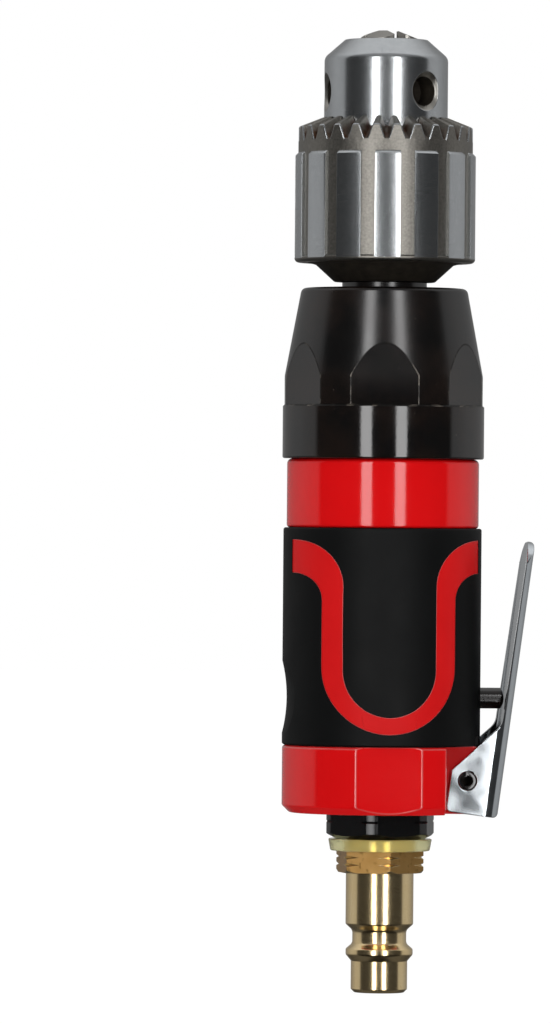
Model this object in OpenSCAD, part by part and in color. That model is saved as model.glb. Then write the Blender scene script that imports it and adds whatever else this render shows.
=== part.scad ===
// Inline air drill with a keyed chuck, modelled piece by piece, in millimetres.
// The tool axis is Z, with the chuck up. The throttle lever is on +X and the front of the grip on -Y.
// Z is 0 where the cylindrical nose of the air plug begins.

/* [Air plug] */
// Diameter of the sealing nose
plug_nose_d = 10; // [9:0.1:10.6]
// Length of the sealing nose
plug_nose_len = 5.2; // [4:0.1:8]
// Chamfer at the open end of the nose
plug_end_chamfer = 0.6; // [0.2:0.1:0.9]
// Diameter of the locking bead and of the shank
plug_shank_d = 12; // [11.4:0.1:13]
// Length of the locking bead
plug_bead_len = 2.4; // [2:0.1:3.5]
// Diameter of the waist behind the bead
plug_waist_d = 9.5; // [8.6:0.1:10.4]
// Length of the waist
plug_waist_len = 4; // [3.4:0.1:6]
// Length of the plain shank
plug_shank_len = 9; // [5:0.1:14]
// Size of the hexagon across flats
plug_hex_af = 14; // [13.6:0.1:15]
// Length of the hexagon
plug_hex_len = 3.9; // [3.4:0.1:6]
// Diameter of the air passage
plug_bore_d = 7.2; // [5:0.1:7.6]
// Diameter of the screwed tail
plug_thread_d = 12.8; // [11.5:0.1:13.2]
// Length of the screwed tail above the washer
plug_thread_len = 9; // [6:0.1:9.5]
// Angle of the hexagon around the axis
plug_hex_turn = -82; // [-110:1:-70]

/* [Inlet] */
// Thickness of the sealing washer
washer_t = 2.1; // [1.2:0.1:3]
// Diameter of the sealing washer where it meets the bush
washer_d = 18.3; // [16:0.1:19]
// Taper of the washer's edge, on the diameter
washer_taper = 0.7; // [0:0.1:1.2]
// Size of the inlet bush's hexagon across flats
bush_hex_af = 18; // [17.4:0.1:19.4]
// Length of the inlet bush's hexagon
bush_hex_len = 4.6; // [3.6:0.1:6]
// Diameter of the inlet bush's shank
bush_shank_d = 15; // [14.4:0.1:16]
// Length of the inlet bush's shank
bush_shank_len = 9.4; // [8:0.1:9.8]
// Angle of the bush's hexagon around the axis
bush_hex_turn = -104.5; // [-120:0.5:-60]
// Diameter of the air passage behind the plug
inlet_bore_d = 8.4; // [7:0.1:9]
// Thickness of the inlet screen
screen_t = 0.8; // [0.5:0.1:1.2]
// Diameter of each hole in the screen
screen_hole_d = 1.6; // [1:0.1:2]

/* [Rear cap] */
// How far the cap lies below the grip's surface
cap_sink = 0.05; // [0:0.05:0.3]
// Length
cap_len = 12; // [11.6:0.1:15]
// Chamfer at the rear edge
cap_chamfer = 1.3; // [0.5:0.1:2]
// Depth of the two flats
cap_flat_depth = 1; // [0.5:0.1:1.6]
// Distance of the walls beside the lever behind its pivot
lever_pocket = 4.5; // [4:0.1:5.2]
// Diameter of the spigot that screws into the motor housing
cap_spigot_d = 18.9; // [17:0.1:20]
// Length of that spigot
cap_spigot_len = 3; // [2:0.1:3.4]
// Inner diameter of the exhaust chamber
exhaust_in_d = 22; // [21:0.1:23]
// Width of the exhaust chamber, from its inner to its outer wall
exhaust_w = 3.8; // [3.2:0.1:4]
// Depth of the exhaust chamber
exhaust_depth = 7; // [5:0.1:8]
// Angle that the exhaust chamber covers
exhaust_arc = 140; // [120:2:160]
// Number of outlets in the rear face
outlet_count = 7; // [5:1:8]
// Diameter of each outlet
outlet_d = 2.6; // [1.6:0.1:3]

/* [Throttle lever] */
// Distance of the pivot below the cap's surface
pivot_in = 2.7; // [2.6:0.05:3.1]
// Height of the pivot above the cap's rear face
pivot_up = 5.9; // [5.4:0.1:6.4]
// Diameter of the pivot pin
pivot_pin_d = 3.3; // [2.6:0.1:3.4]
// Width over the two cheeks
lever_w = 13.5; // [12:0.1:13.6]
// Thickness of the sheet
lever_sheet = 1.2; // [1:0.1:1.4]
// Outside radius of the bends
lever_bend = 2.8; // [2.2:0.1:3]
// Lean of the lever away from the grip at rest
lever_lean = 7.5; // [6:0.1:8]
// Distance from the pivot to the lever's outer face
lever_face = 6.39; // [6:0.1:6.8]
// Distance from the pivot to the tip
lever_len = 43.4; // [38:0.1:46]
// Distance from the pivot to the foot
lever_foot = 5.85; // [5:0.1:6]
// Distance from the pivot to the top of the cheeks
cheek_top = 11.2; // [10.6:0.1:13]
// Reach of the cheeks behind the pivot
cheek_reach = 3.05; // [2.8:0.05:3.2]

/* [Throttle valve] */
// Height of the valve above the grip's rear end
valve_up = 8.4; // [8.2:0.1:9]
// Diameter of the pin that the lever presses
throttle_pin_d = 3.7; // [3:0.1:4]
// Travel of the pin
throttle_travel = 1.95; // [1.5:0.05:2.2]
// Outside diameter of the pin's bush
valve_bush_d = 8; // [7.2:0.1:8.6]
// Length of the pin's bush
valve_bush_len = 4.8; // [4:0.1:5]
// Diameter of the valve chamber
valve_chamber_d = 10; // [9:0.1:10.4]
// Diameter of the hole in the valve seat
valve_seat_d = 5.2; // [4.6:0.1:6]
// Distance from the axis to the valve seat
valve_seat_x = 3; // [2.4:0.1:3.4]
// Diameter of the poppet
poppet_d = 7.8; // [7.2:0.1:8.4]
// Length of the poppet's body
poppet_len = 2.7; // [2:0.1:3]
// Diameter of the air inlet to the valve chamber
valve_inlet_d = 5; // [3.6:0.1:5.4]
// Thickness of the poppet's rubber face
poppet_seal_t = 0.8; // [0.5:0.1:1]
// Wire diameter of the valve spring
spring_wire = 0.9; // [0.6:0.1:1]
// Mean diameter of the valve spring
spring_d = 6; // [5:0.1:6.4]
// Turns of the valve spring
spring_turns = 5; // [4:1:6]
// Length of the screwed valve plug
valve_plug_len = 7.6; // [6:0.1:8]

/* [Grip] */
// Outside diameter
grip_d = 35.1; // [34.8:0.1:36]
// Length
grip_len = 38.4; // [38:0.1:44]
// Thickness of the grip's wall
grip_wall = 1.15; // [1:0.05:1.4]
// How far the red inlay lies below the grip's surface
inlay_sink = 0.1; // [0:0.05:0.3]
// Thickness of the red inlay
inlay_t = 0.6; // [0.4:0.05:0.75]
// Half the inner width of the inlay's U
inlay_inner = 8.16; // [7:0.1:9]
// Width of the inlay's legs, seen from the front
inlay_leg = 3.67; // [3:0.1:4.2]
// Height of the inlay's foot above the grip's rear end
inlay_foot = 1.8; // [1:0.1:4]
// Thickness of the U at its foot
inlay_foot_t = 3; // [2.4:0.1:3.6]
// Height of the inlay's top edge above the grip's rear end
inlay_top = 36.1; // [34:0.1:37]
// Height of the ends of the inlay's arms
inlay_arm = 5.7; // [4:0.1:6.6]
// Half the width over the ends of the inlay's arms
inlay_reach = 16.5; // [15.5:0.1:16.7]
// Diameter of the finger scoop
scoop_d = 14.6; // [10:0.1:15]
// Depth of the finger scoop
scoop_depth = 0.8; // [0.4:0.05:0.9]
// Radius of the finger scoop along the tool
scoop_bend = 26; // [18:1:40]

/* [Motor housing] */
// Outside diameter of the ring in front of the grip
ring_d = 34; // [33.4:0.1:35]
// Length of that ring
ring_len = 12.2; // [10:0.1:14]
// Edge radius of that ring
ring_round = 0.5; // [0.2:0.1:0.8]
// Wall of the front housing around the motor housing's spigot
front_wall = 2.4; // [2.25:0.05:2.8]
// Length of that spigot
spigot_len = 8; // [7:0.1:9]
// Length of the solid valve block
valve_block_len = 18.3; // [17.8:0.1:19]

/* [Vane motor] */
// Wall of the spigot around the motor cylinder
spigot_wall = 1.65; // [1.5:0.05:1.8]
// Mean wall of the motor cylinder
cylinder_wall = 2.3; // [2.2:0.05:2.5]
// Distance of that bore's axis from the tool axis
cylinder_offset = 1.15; // [1:0.05:1.2]
// Least gap between the rotor and the cylinder's bore
rotor_gap = 0.05; // [0.03:0.01:0.2]
// Thickness of each end plate
plate_t = 5; // [4.6:0.1:5.4]
// Thickness of the rear gasket
gasket_t = 0.5; // [0.3:0.1:1]
// Number of vanes
vane_count = 5; // [5:1:5]
// Thickness of a vane
vane_t = 1.4; // [1:0.1:1.8]
// Radial height of a vane, as a share of the rotor's diameter
vane_share = 0.23; // [0.2:0.01:0.25]
// Diameter of the locating dowels
dowel_d = 1.8; // [1.2:0.1:2]
// Length of each dowel
dowel_len = 6; // [4:0.5:8]

/* [Gear stage] */
// Rim of the ring gear behind its teeth
ring_rim = 1.1; // [0.9:0.05:1.6]
// Teeth on the sun pinion
sun_teeth = 12; // [12:1:12]
// Teeth on each planet
planet_teeth = 21; // [21:1:21]
// Number of planets
planet_count = 3; // [3:1:3]
// Pressure angle of the teeth
pressure_angle = 25; // [22:1:26]
// Play between meshing flanks
backlash = 0.1; // [0.06:0.01:0.14]
// Face width of the planets
planet_w = 5; // [4:0.1:5.2]
// Diameter of the planet pins
planet_pin_d = 3.5; // [3:0.1:4]
// Thickness of the spacer behind the gears
spacer_t = 0.6; // [0.4:0.1:1]
// Length of the ring gear
ring_gear_len = 7.7; // [7:0.1:8.4]
// Thickness of the planet carrier
carrier_t = 3.7; // [3:0.1:4.4]

/* [Spindle] */
// Diameter of the spindle in its bearings
spindle_d = 12; // [11.6:0.1:12.4]
// Diameter of the screwed end that carries the chuck
spindle_thread_d = 9.4; // [9:0.1:9.6]
// Length of that screwed end
spindle_thread_len = 11.4; // [9:0.1:12]
// Outside diameter of the spindle bearings
spindle_bearing_d = 21; // [20.6:0.1:22]
// Width of the spindle bearings
spindle_bearing_w = 5; // [4.6:0.1:5.2]
// Diameter of the collar between bearing and chuck
collar_d = 15; // [14.2:0.1:15.4]
// Length of the collar that shows
collar_show = 1.1; // [0.6:0.1:2]
// Bore of the rotor bearings
rotor_bearing_bore = 7; // [7:0.1:7.4]
// Outside diameter of the rotor bearings
rotor_bearing_d = 14; // [13.6:0.1:14.4]
// Width of the rotor bearings
rotor_bearing_w = 3.5; // [3:0.1:4]

/* [Front housing] */
// How far the plain band stands out
band_step = 0.3; // [0.1:0.05:0.8]
// Length of the plain band
band_len = 9.4; // [8:0.1:11]
// Diameter above the band
body_d = 35.1; // [34.4:0.1:36]
// Depth of the six spanner flats
flat_depth = 1.05; // [0.6:0.05:1.2]
// Length of the straight stretch above the band
flats_len = 5.2; // [4:0.1:7]
// Length of the cone
cone_len = 15.6; // [15.2:0.1:18]
// How far the cone draws in, on the radius
cone_drop = 2.9; // [2:0.1:3.6]
// Edge radius at the top of the cone
cone_round = 1.1; // [0.4:0.1:1.4]
// Angle of the first spanner flat around the axis
flats_turn = -94.5; // [-120:0.5:-60]

/* [Chuck] */
// Diameter of the nose
nose_d = 21.9; // [21:0.1:22.4]
// Length of the nose ahead of the sleeve, to its face
nose_len = 13.65; // [13:0.05:16]
// Diameter of the flat face at the front
face_d = 14.6; // [13:0.1:16]
// Length of the slope behind that face
face_slope = 3.2; // [2.4:0.1:3.6]
// Length of the cone at the rear
rear_cone_len = 3; // [2:0.1:4]
// Small diameter of that cone
rear_cone_d1 = 17.8; // [17:0.1:20]
// Large diameter of that cone
rear_cone_d2 = 24.4; // [22:0.1:26]
// Outside diameter of the sleeve over its ribs
sleeve_d = 32; // [31.8:0.1:33]
// Outside diameter of the sleeve between the ribs
sleeve_root_d = 30.9; // [30.6:0.1:31.6]
// Length of the sleeve, to the outer tips of its teeth
sleeve_len = 24.1; // [23.4:0.1:26]
// Length of the ribs
rib_len = 19; // [15:0.1:20]
// Number of ribs
rib_count = 14; // [10:1:18]
// Angle between neighbouring ribs
rib_gap = 9.1; // [6:0.1:12]
// Angle of the first rib around the axis
rib_turn = -93.6; // [-100:0.1:-85]
// Number of teeth on the crown
crown_teeth = 26; // [22:1:30]
// Depth of the crown's teeth at the outside
crown_depth = 2.2; // [1.6:0.1:2.4]
// Rise of the crown from its outer to its inner edge
crown_rise = 1.75; // [1.4:0.05:2.2]
// Angle of a gap in the crown around the axis
crown_turn = -94.5; // [-100:0.5:-90]
// Diameter of the key holes
key_hole_d = 5.1; // [4.4:0.1:5.4]
// Depth of the key holes
key_hole_depth = 4.6; // [3:0.1:4.8]
// Diameter of the countersink at the key holes
key_sink_d = 7; // [6:0.1:7.4]
// Distance of the key holes behind the nose's face
key_hole_back = 9.4; // [9:0.1:10]
// Angle of the first key hole around the axis
key_turn = -54.1; // [-60:0.1:-50]
// Diameter of a jaw
jaw_d = 5; // [4.6:0.1:5.2]
// Slope of the jaws towards the axis
jaw_slope = 11; // [10.5:0.1:11.4]
// Distance of a jaw's own axis from the tool axis at the nose's face
jaw_offset = 3.3; // [3.1:0.1:3.5]
// Radius that the jaws are closed to
jaw_grip_r = 2.1; // [1.8:0.1:2.6]
// Angle of the grinding on each jaw's inner edge
jaw_land = 44; // [40:1:60]
// Length of a jaw along the tool axis
jaw_len = 29.5; // [28.6:0.1:30]
// How far the jaws stand out of the nose
jaw_show = 1.6; // [0.8:0.1:3]
// Slope of the jaws' ground ends
jaw_end_slope = 21.7; // [10:0.1:30]
// Bore of the chuck for the drill's shank
chuck_bore_d = 8.4; // [7:0.1:9]
// Length of the nut that drives the jaws
nut_len = 4.2; // [3.4:0.1:4.4]
// Outside diameter of that nut
nut_d = 27.1; // [26.4:0.1:27.2]

/* [Fits] */
// Radial clearance of parts that run
run_gap = 0.05; // [0.03:0.01:0.09]
// Clearance of parts that are pressed or screwed together
fit_gap = 0.02; // [0.01:0.01:0.04]
// Clearance beside moving faces
side_gap = 0.1; // [0.06:0.02:0.2]

/* [Hidden] */
$fn = 72;

// Finishes, named once and used by the modules below
red_paint = "#b3121a";
black_oxide = "#2b2521";
black_rubber = "#16171a";
bright_steel = "#b4b6b8";
dull_steel = "#8a8883";
pale_brass = "#c3a262";
chrome = "#c9ced2";

// Overshoot that carries a cut clear through a face
cut = 1;
// Size of a block that is larger than the whole tool
huge = 400;

// Heights of the joints between the pieces, from the plug to the chuck
z_bead = plug_nose_len;
z_waist = z_bead + plug_bead_len;
z_shank = z_waist + plug_waist_len;
z_hex = z_shank + plug_shank_len;
z_washer = z_hex + plug_hex_len;
z_bush = z_washer + washer_t;
z_cap = z_bush + bush_hex_len;
z_grip = z_cap + cap_len;
z_ring = z_grip + grip_len;
z_front = z_ring + ring_len;
z_flats = z_front + band_len;
z_cone = z_flats + flats_len;
z_nose = z_cone + cone_len;
z_chuck = z_nose + collar_show;
z_sleeve = z_chuck + rear_cone_len + 0.4;
z_crown = z_sleeve + sleeve_len;
z_face = z_crown + crown_rise + nose_len;

// Grip and motor housing
core_r = grip_d / 2 - grip_wall;
z_valve = z_grip + valve_up;
z_motor = z_grip + valve_block_len;
z_spigot = z_front + spigot_len;
spigot_d = body_d - 2 * front_wall;

// The motor passes through the spigot and keeps a wall inside the grip
core_wall = 1.4;
cylinder_d = min(spigot_d - 2 * spigot_wall, 2 * (core_r - core_wall));
cylinder_bore_d = cylinder_d - 2 * cylinder_wall;
rotor_d = cylinder_bore_d - 2 * (cylinder_offset + rotor_gap);
vane_h = vane_share * rotor_d;
housing_bore_r = cylinder_d / 2 + run_gap;

// Stack of the vane motor, clamped between the valve block and the gear spacer
z_rear_plate = z_motor + gasket_t;
z_cylinder = z_rear_plate + plate_t;
z_front_plate = z_spigot - plate_t;
rotor_play = 0.2;
bearing_ball_share = 0.29;
rotor_journal_r = rotor_bearing_bore / 2 - fit_gap;
plate_hole_r = rotor_journal_r + 0.5;
rotor_bearing_balls = 8;
spindle_bearing_balls = 11;

// Planetary stage
ring_teeth = sun_teeth + 2 * planet_teeth;
root_share = 1.1;
gear_module = (spigot_d - 2 * ring_rim) / (ring_teeth + 2 * root_share);
carrier_r = (sun_teeth + planet_teeth) * gear_module / 2;
tooth_tip = 0.85 * gear_module;
tooth_root = root_share * gear_module;
z_gears = z_spigot + spacer_t;
z_planets = z_gears + 0.3;
z_carrier = z_planets + planet_w + 0.3;
z_ring_end = z_gears + ring_gear_len;
carrier_flange_r = carrier_r + planet_pin_d / 2 + 0.6;
z_spindle_shoulder = z_carrier + carrier_t;

// Spindle bearings, packed against the lip at the top of the front housing
lip_t = 0.8;
z_front_bearing = z_nose - lip_t - spindle_bearing_w;
bearing_spacer_t = 1;
z_rear_bearing = z_front_bearing - bearing_spacer_t - spindle_bearing_w;
bearing_pocket_r = spindle_bearing_d / 2 + fit_gap;
lip_r = spindle_bearing_d / 2 - 1.3;
z_pocket = z_rear_bearing - 0.2;

// Rear cap, flush with the grip, and the throttle lever in its pockets
cap_d = grip_d - 2 * cap_sink;
cap_flats_af = cap_d - 2 * cap_flat_depth;
pivot_x = cap_d / 2 - pivot_in;
lever_pocket_x = pivot_x - lever_pocket;
z_pivot = z_cap + pivot_up;
lug_half = lever_w / 2 - lever_sheet - side_gap;
pin_hit_z = z_valve - z_pivot;
lever_inner = lever_face - lever_sheet;
pin_dome_r = 3;
pin_touch_gap = 0.06;
// Where the lever's inner face crosses the throttle pin's axis
pin_meet_x = pivot_x + (lever_inner + pin_hit_z * sin(lever_lean)) / cos(lever_lean);
pin_end_x = pin_meet_x - (pin_touch_gap + pin_dome_r * (1 - cos(lever_lean))) / cos(lever_lean);
seat_wall = 1.2;
poppet_nib_d = 2.9;
pin_start_x = valve_seat_x + 0.6;
bush_end_x = sqrt(pow(core_r, 2) - pow(valve_bush_d / 2, 2)) - 0.1;
plug_end_x = sqrt(pow(core_r, 2) - pow(valve_chamber_d / 2, 2)) - 0.1;
feed_x = valve_seat_x + 6.3;
feed_d = 3.4;
poppet_back_x = valve_seat_x - poppet_seal_t - poppet_len;
plug_inner_x = -plug_end_x + valve_plug_len;
spring_pocket = 1;

// Exhaust
exhaust_mid_r = (exhaust_in_d + exhaust_w) / 2;
duct_d = 3.2;
duct_turns = [125, 145, 215, 235];
exhaust_groove_r = (housing_bore_r + core_r) / 2;
collector_depth = 3;

// Chuck
chuck_rear_r = nut_d / 2 + 0.1;
z_nut = z_crown - 6.1;
nut_room = 0.1;
nut_floor_r = 9;
jaw_rise = tan(jaw_slope);
jaw_apex = jaw_grip_r * cos(jaw_land / 2) - jaw_grip_r * sin(jaw_land / 2) / tan(60);
z_jaw_tip = z_face + jaw_show;
z_jaw_rear = z_jaw_tip - jaw_len;
jaw_retract = 10.2;
sleeve_bore_r = chuck_rear_r + run_gap;
crown_apex = z_crown + crown_rise * (sleeve_root_d / 2) / (sleeve_root_d / 2 - nose_d / 2);

// A corner of an outline, replaced by an arc of radius r
function unit(v) = v / norm(v);
function corner(a, b, c, r, steps) = r == 0 ? [b] :
    let (
        u = unit(a - b),
        v = unit(c - b),
        half = acos(u * v) / 2,
        o = b + unit(u + v) * r / sin(half),
        s = b + u * r / tan(half) - o,
        e = b + v * r / tan(half) - o,
        start = atan2(s.y, s.x),
        sweep = (atan2(e.y, e.x) - start + 540) % 360 - 180
    )
    [for (i = [0:steps]) o + r * [cos(start + sweep * i / steps), sin(start + sweep * i / steps)]];
function flat(p) = [p[0], p[1]];

// An outline given as [x, y, corner radius]
function rounded(p, steps = 5) = [
    for (i = [0:len(p) - 1])
        each corner(
            flat(p[(i + len(p) - 1) % len(p)]), flat(p[i]), flat(p[(i + 1) % len(p)]), p[i][2], steps
        )
];

// Involute function and half the angle of a tooth at radius r
function inv(a) = tan(a) * 180 / PI - a;
function half_tooth(n, r, play) =
    let (pitch_r = n * gear_module / 2, base_r = pitch_r * cos(pressure_angle))
    90 / n - play * 90 / (PI * pitch_r) + inv(pressure_angle) - inv(acos(min(1, base_r / r)));

// Outline of a gear from its root to its tip radius; a negative play makes the gaps of a ring gear
function gear_outline(n, root_r, tip_r, play, steps = 3) =
    let (base_r = n * gear_module / 2 * cos(pressure_angle), low = max(base_r, root_r) + 0.001)
    [
        for (i = [0:n - 1], side = [-1, 1], k = [0:steps + 1])
            let (
                up = side < 0 ? k : steps + 1 - k,
                r = up == 0 ? root_r : low + (tip_r - low) * (up - 1) / steps,
                a = 360 * i / n + side * half_tooth(n, max(r, low), play)
            )
            r * [cos(a), sin(a)]
    ];

module revolve(outline) {
    rotate_extrude() polygon(rounded(outline));
}

// A plain ring between two heights
module ring(outer_r, inner_r, z0, z1) {
    translate([0, 0, z0]) difference() {
        cylinder(r = outer_r, h = z1 - z0);
        translate([0, 0, -cut]) cylinder(r = inner_r, h = z1 - z0 + 2 * cut);
    }
}

// A rod along X between two distances from the axis, at the height of the valve
module cross_rod(r, x0, x1) {
    translate([x0, 0, z_valve]) rotate([0, 90, 0]) cylinder(r = r, h = x1 - x0);
}

// A hexagonal prism, with a corner at the given angle
module hexagon(af, turn, z0, z1) {
    rotate([0, 0, turn]) translate([0, 0, z0])
        cylinder(r = af / 2 / cos(30), h = z1 - z0, $fn = 6);
}

// A part of a revolved outline, centred on -X
module rear_sector(arc) {
    rotate([0, 0, 180 - arc / 2]) rotate_extrude(angle = arc) children();
}

// Air plug: a turned brass nipple with a bead that a coupling locks behind
module air_plug() {
    nose_r = plug_nose_d / 2;
    shank_r = plug_shank_d / 2;
    waist_r = plug_waist_d / 2;
    bore_r = plug_bore_d / 2;
    thread_r = plug_thread_d / 2 - fit_gap;
    thread_end = z_bush + plug_thread_len;
    bead_slope = 0.8;
    groove_r = plug_hex_af / 2 + 0.3;
    groove_w = 0.9;
    color(pale_brass) union() {
        revolve([
            [bore_r, -plug_end_chamfer, 0],
            [nose_r - plug_end_chamfer, -plug_end_chamfer, 0],
            [nose_r, 0, 0],
            [nose_r, z_bead, 0],
            [shank_r, z_bead + bead_slope, 0.4],
            [shank_r, z_waist - bead_slope / 2, 0.4],
            [waist_r, z_waist + bead_slope / 2, 1],
            [waist_r, z_shank - bead_slope, 1.2],
            [shank_r, z_shank, 0.4],
            [shank_r, z_hex, 0],
            [thread_r, z_hex, 0],
            [thread_r, thread_end, 0],
            [bore_r, thread_end, 0]
        ]);
        difference() {
            intersection() {
                hexagon(plug_hex_af, plug_hex_turn, z_hex, z_washer);
                edge_r = plug_hex_af / 2 / cos(30);
                revolve([
                    [0, z_hex, 0], [edge_r - 0.6, z_hex, 0], [edge_r + 0.6, z_hex + 1.2, 0],
                    [edge_r + 0.6, z_washer - 0.9, 0], [edge_r - 0.3, z_washer, 0], [0, z_washer, 0]
                ]);
            }
            translate([0, 0, z_hex - cut]) cylinder(r = bore_r + 1, h = plug_hex_len + 2 * cut);
            for (share = [0.38, 0.72]) {
                z = z_hex + share * plug_hex_len;
                revolve([
                    [groove_r, z, 0], [groove_r + groove_w, z - groove_w / 2, 0],
                    [groove_r + 3, z - groove_w / 2, 0], [groove_r + 3, z + groove_w / 2, 0],
                    [groove_r + groove_w, z + groove_w / 2, 0]
                ]);
            }
        }
    }
}

// Sealing washer: a soft translucent ring under the plug's hexagon
module sealing_washer() {
    top_r = washer_d / 2;
    low_r = top_r - washer_taper / 2;
    hole_r = plug_thread_d / 2 + 0.1;
    color("#a3a458") revolve([
        [hole_r, z_washer, 0], [low_r, z_washer, 0.3], [top_r, z_bush, 0], [hole_r, z_bush, 0]
    ]);
}

// Inlet bush: a hollow hexagon screw that holds the screen in the rear cap
module inlet_bush() {
    corner_r = bush_hex_af / 2 / cos(30);
    groove_z = z_bush + 0.68 * bush_hex_len;
    groove_w = 0.09 * bush_hex_len;
    chamfer = 0.072 * bush_hex_af;
    groove_depth = 0.05 * bush_hex_af;
    color("#101114") difference() {
        union() {
            intersection() {
                hexagon(bush_hex_af, bush_hex_turn, z_bush, z_cap);
                revolve([
                    [0, z_bush, 0], [corner_r - 2 * chamfer, z_bush, 0],
                    [corner_r + chamfer, z_bush + 1.5 * chamfer, 0],
                    [corner_r + chamfer, groove_z - groove_w, 0], [corner_r - groove_depth, groove_z, 0],
                    [corner_r + chamfer, groove_z + groove_w, 0], [corner_r + chamfer, z_cap, 0],
                    [0, z_cap, 0]
                ]);
            }
            translate([0, 0, z_cap]) cylinder(r = bush_shank_d / 2 - fit_gap, h = bush_shank_len);
        }
        translate([0, 0, z_bush - cut]) cylinder(r = inlet_bore_d / 2, h = huge);
        translate([0, 0, z_bush - cut])
            cylinder(r = plug_thread_d / 2, h = plug_thread_len + cut + 0.6);
    }
}

// Inlet screen: a perforated disc clamped under the end of the bush
module inlet_screen() {
    screen_r = bush_shank_d / 2 - 0.1;
    ring_r = 2.6;
    z0 = z_cap + bush_shank_len;
    color(dull_steel) translate([0, 0, z0]) difference() {
        cylinder(r = screen_r, h = screen_t);
        translate([0, 0, -cut]) cylinder(d = screen_hole_d, h = screen_t + 2 * cut);
        for (i = [0:5])
            rotate([0, 0, 60 * i]) translate([ring_r, 0, -cut])
                cylinder(d = screen_hole_d, h = screen_t + 2 * cut);
    }
}

// Rear cap: carries the inlet, the lever's lug and the exhaust outlets
module rear_cap() {
    cap_r = cap_d / 2;
    shank_r = bush_shank_d / 2;
    screen_end = z_cap + bush_shank_len + screen_t;
    floor_z = z_grip - exhaust_depth;
    color(red_paint) difference() {
        union() {
            intersection() {
                revolve([
                    [0, z_cap, 0], [cap_r - cap_chamfer, z_cap, 0.6], [cap_r, z_cap + cap_chamfer, 0.6],
                    [cap_r, z_grip - 0.4, 0], [cap_r - 0.4, z_grip, 0], [0, z_grip, 0]
                ]);
                translate([-huge / 2, -cap_flats_af / 2, 0]) cube([huge, cap_flats_af, huge]);
            }
            translate([0, 0, z_cap + cap_chamfer])
                cylinder(r = cap_spigot_d / 2 - fit_gap, h = cap_len - cap_chamfer + cap_spigot_len);
        }
        translate([0, 0, z_cap - cut]) cylinder(r = inlet_bore_d / 2, h = huge);
        translate([0, 0, z_cap - cut]) cylinder(r = shank_r, h = screen_end - z_cap + cut);
        for (side = [0, 1]) mirror([0, side, 0])
            translate([lever_pocket_x, lug_half, z_cap - cut]) cube([huge, huge, cap_len + 2 * cut]);
        translate([pivot_x, 0, z_pivot]) rotate([90, 0, 0])
            cylinder(r = pivot_pin_d / 2 + fit_gap, h = huge, center = true);
        rear_sector(exhaust_arc)
            translate([exhaust_in_d / 2, floor_z])
                square([exhaust_w, exhaust_depth + cut]);
        for (i = [0:outlet_count - 1])
            rotate([0, 0, 180 + (i / (outlet_count - 1) - 0.5) * (exhaust_arc - 20)])
                translate([exhaust_mid_r, 0, z_cap - cut]) cylinder(d = outlet_d, h = cap_len);
    }
}

// Exhaust silencer: a curved felt pad in the rear cap's chamber
module exhaust_silencer() {
    z0 = z_grip - exhaust_depth + side_gap;
    color("#8f8a7c") rear_sector(exhaust_arc - 2)
        translate([exhaust_in_d / 2 + side_gap, z0])
            square([exhaust_w - 2 * side_gap, exhaust_depth - 2 * side_gap]);
}

// Lever pin: a slotted spring pin pressed through the lug
module lever_pin() {
    pin_len = lever_w + 0.2;
    wall = 0.7;
    slot = 0.5;
    color(black_oxide) translate([pivot_x, 0, z_pivot]) rotate([90, 0, 0]) difference() {
        cylinder(d = pivot_pin_d, h = pin_len, center = true);
        cylinder(d = pivot_pin_d - 2 * wall, h = pin_len + 2 * cut, center = true);
        translate([-slot / 2, 0, -pin_len / 2 - cut]) cube([slot, pivot_pin_d, pin_len + 2 * cut]);
    }
}

// Outline of the lever's bent sheet, seen along the arm
module lever_section(inset) {
    r = lever_bend - inset;
    half = lever_w / 2 - inset;
    face = lever_face - inset;
    back = cheek_reach + cut * (1 + inset);
    translate([-back, -half]) square([back + face - r, 2 * half]);
    translate([0, -half + r]) square([face, 2 * (half - r)]);
    for (side = [-1, 1]) translate([face - r, side * (half - r)]) circle(r = r);
}

// Throttle lever: a chromed steel channel whose cheeks straddle the lug
module throttle_lever() {
    cheek_low = 1.6;
    tip_r = 4;
    half = lever_w / 2 + cut;
    color(chrome) translate([pivot_x, 0, z_pivot]) rotate([0, lever_lean, 0]) difference() {
        intersection() {
            translate([0, 0, -lever_foot - cut]) linear_extrude(lever_len + lever_foot + 2 * cut)
                lever_section(0);
            rotate([90, 0, 0]) linear_extrude(huge, center = true) polygon(rounded([
                [-cheek_reach, -lever_foot, 1],
                [-cheek_reach, cheek_low, 1],
                [lever_inner, cheek_top, 1],
                [lever_inner, lever_len, 0.4],
                [lever_face, lever_len, 0.6],
                [lever_face, -lever_foot, 1]
            ]));
            rotate([90, 0, 90]) linear_extrude(huge, center = true) polygon(rounded([
                [-half, -lever_foot - cut, 0], [half, -lever_foot - cut, 0],
                [half, lever_len, tip_r], [-half, lever_len, tip_r]
            ]));
        }
        translate([0, 0, -huge / 2]) linear_extrude(huge) lever_section(lever_sheet);
        rotate([90, 0, 0]) cylinder(r = pivot_pin_d / 2 + run_gap, h = huge, center = true);
    }
}

// Throttle pin: a black push rod with a domed end under the lever
module throttle_pin() {
    r = throttle_pin_d / 2;
    color(black_oxide) intersection() {
        cross_rod(r, pin_start_x, pin_end_x);
        union() {
            cross_rod(r + cut, pin_start_x - cut, pin_end_x - pin_dome_r);
            translate([pin_end_x - pin_dome_r, 0, z_valve]) sphere(r = pin_dome_r);
        }
    }
}

// Valve bush: guides the throttle pin in the housing
module valve_bush() {
    gland = 1.2;
    gland_r = throttle_pin_d / 2 + 1.1;
    color(pale_brass) difference() {
        cross_rod(valve_bush_d / 2 - fit_gap, bush_end_x - valve_bush_len, bush_end_x);
        cross_rod(throttle_pin_d / 2 + run_gap, 0, huge);
        cross_rod(gland_r, 0, bush_end_x - valve_bush_len + gland);
    }
}

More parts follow.
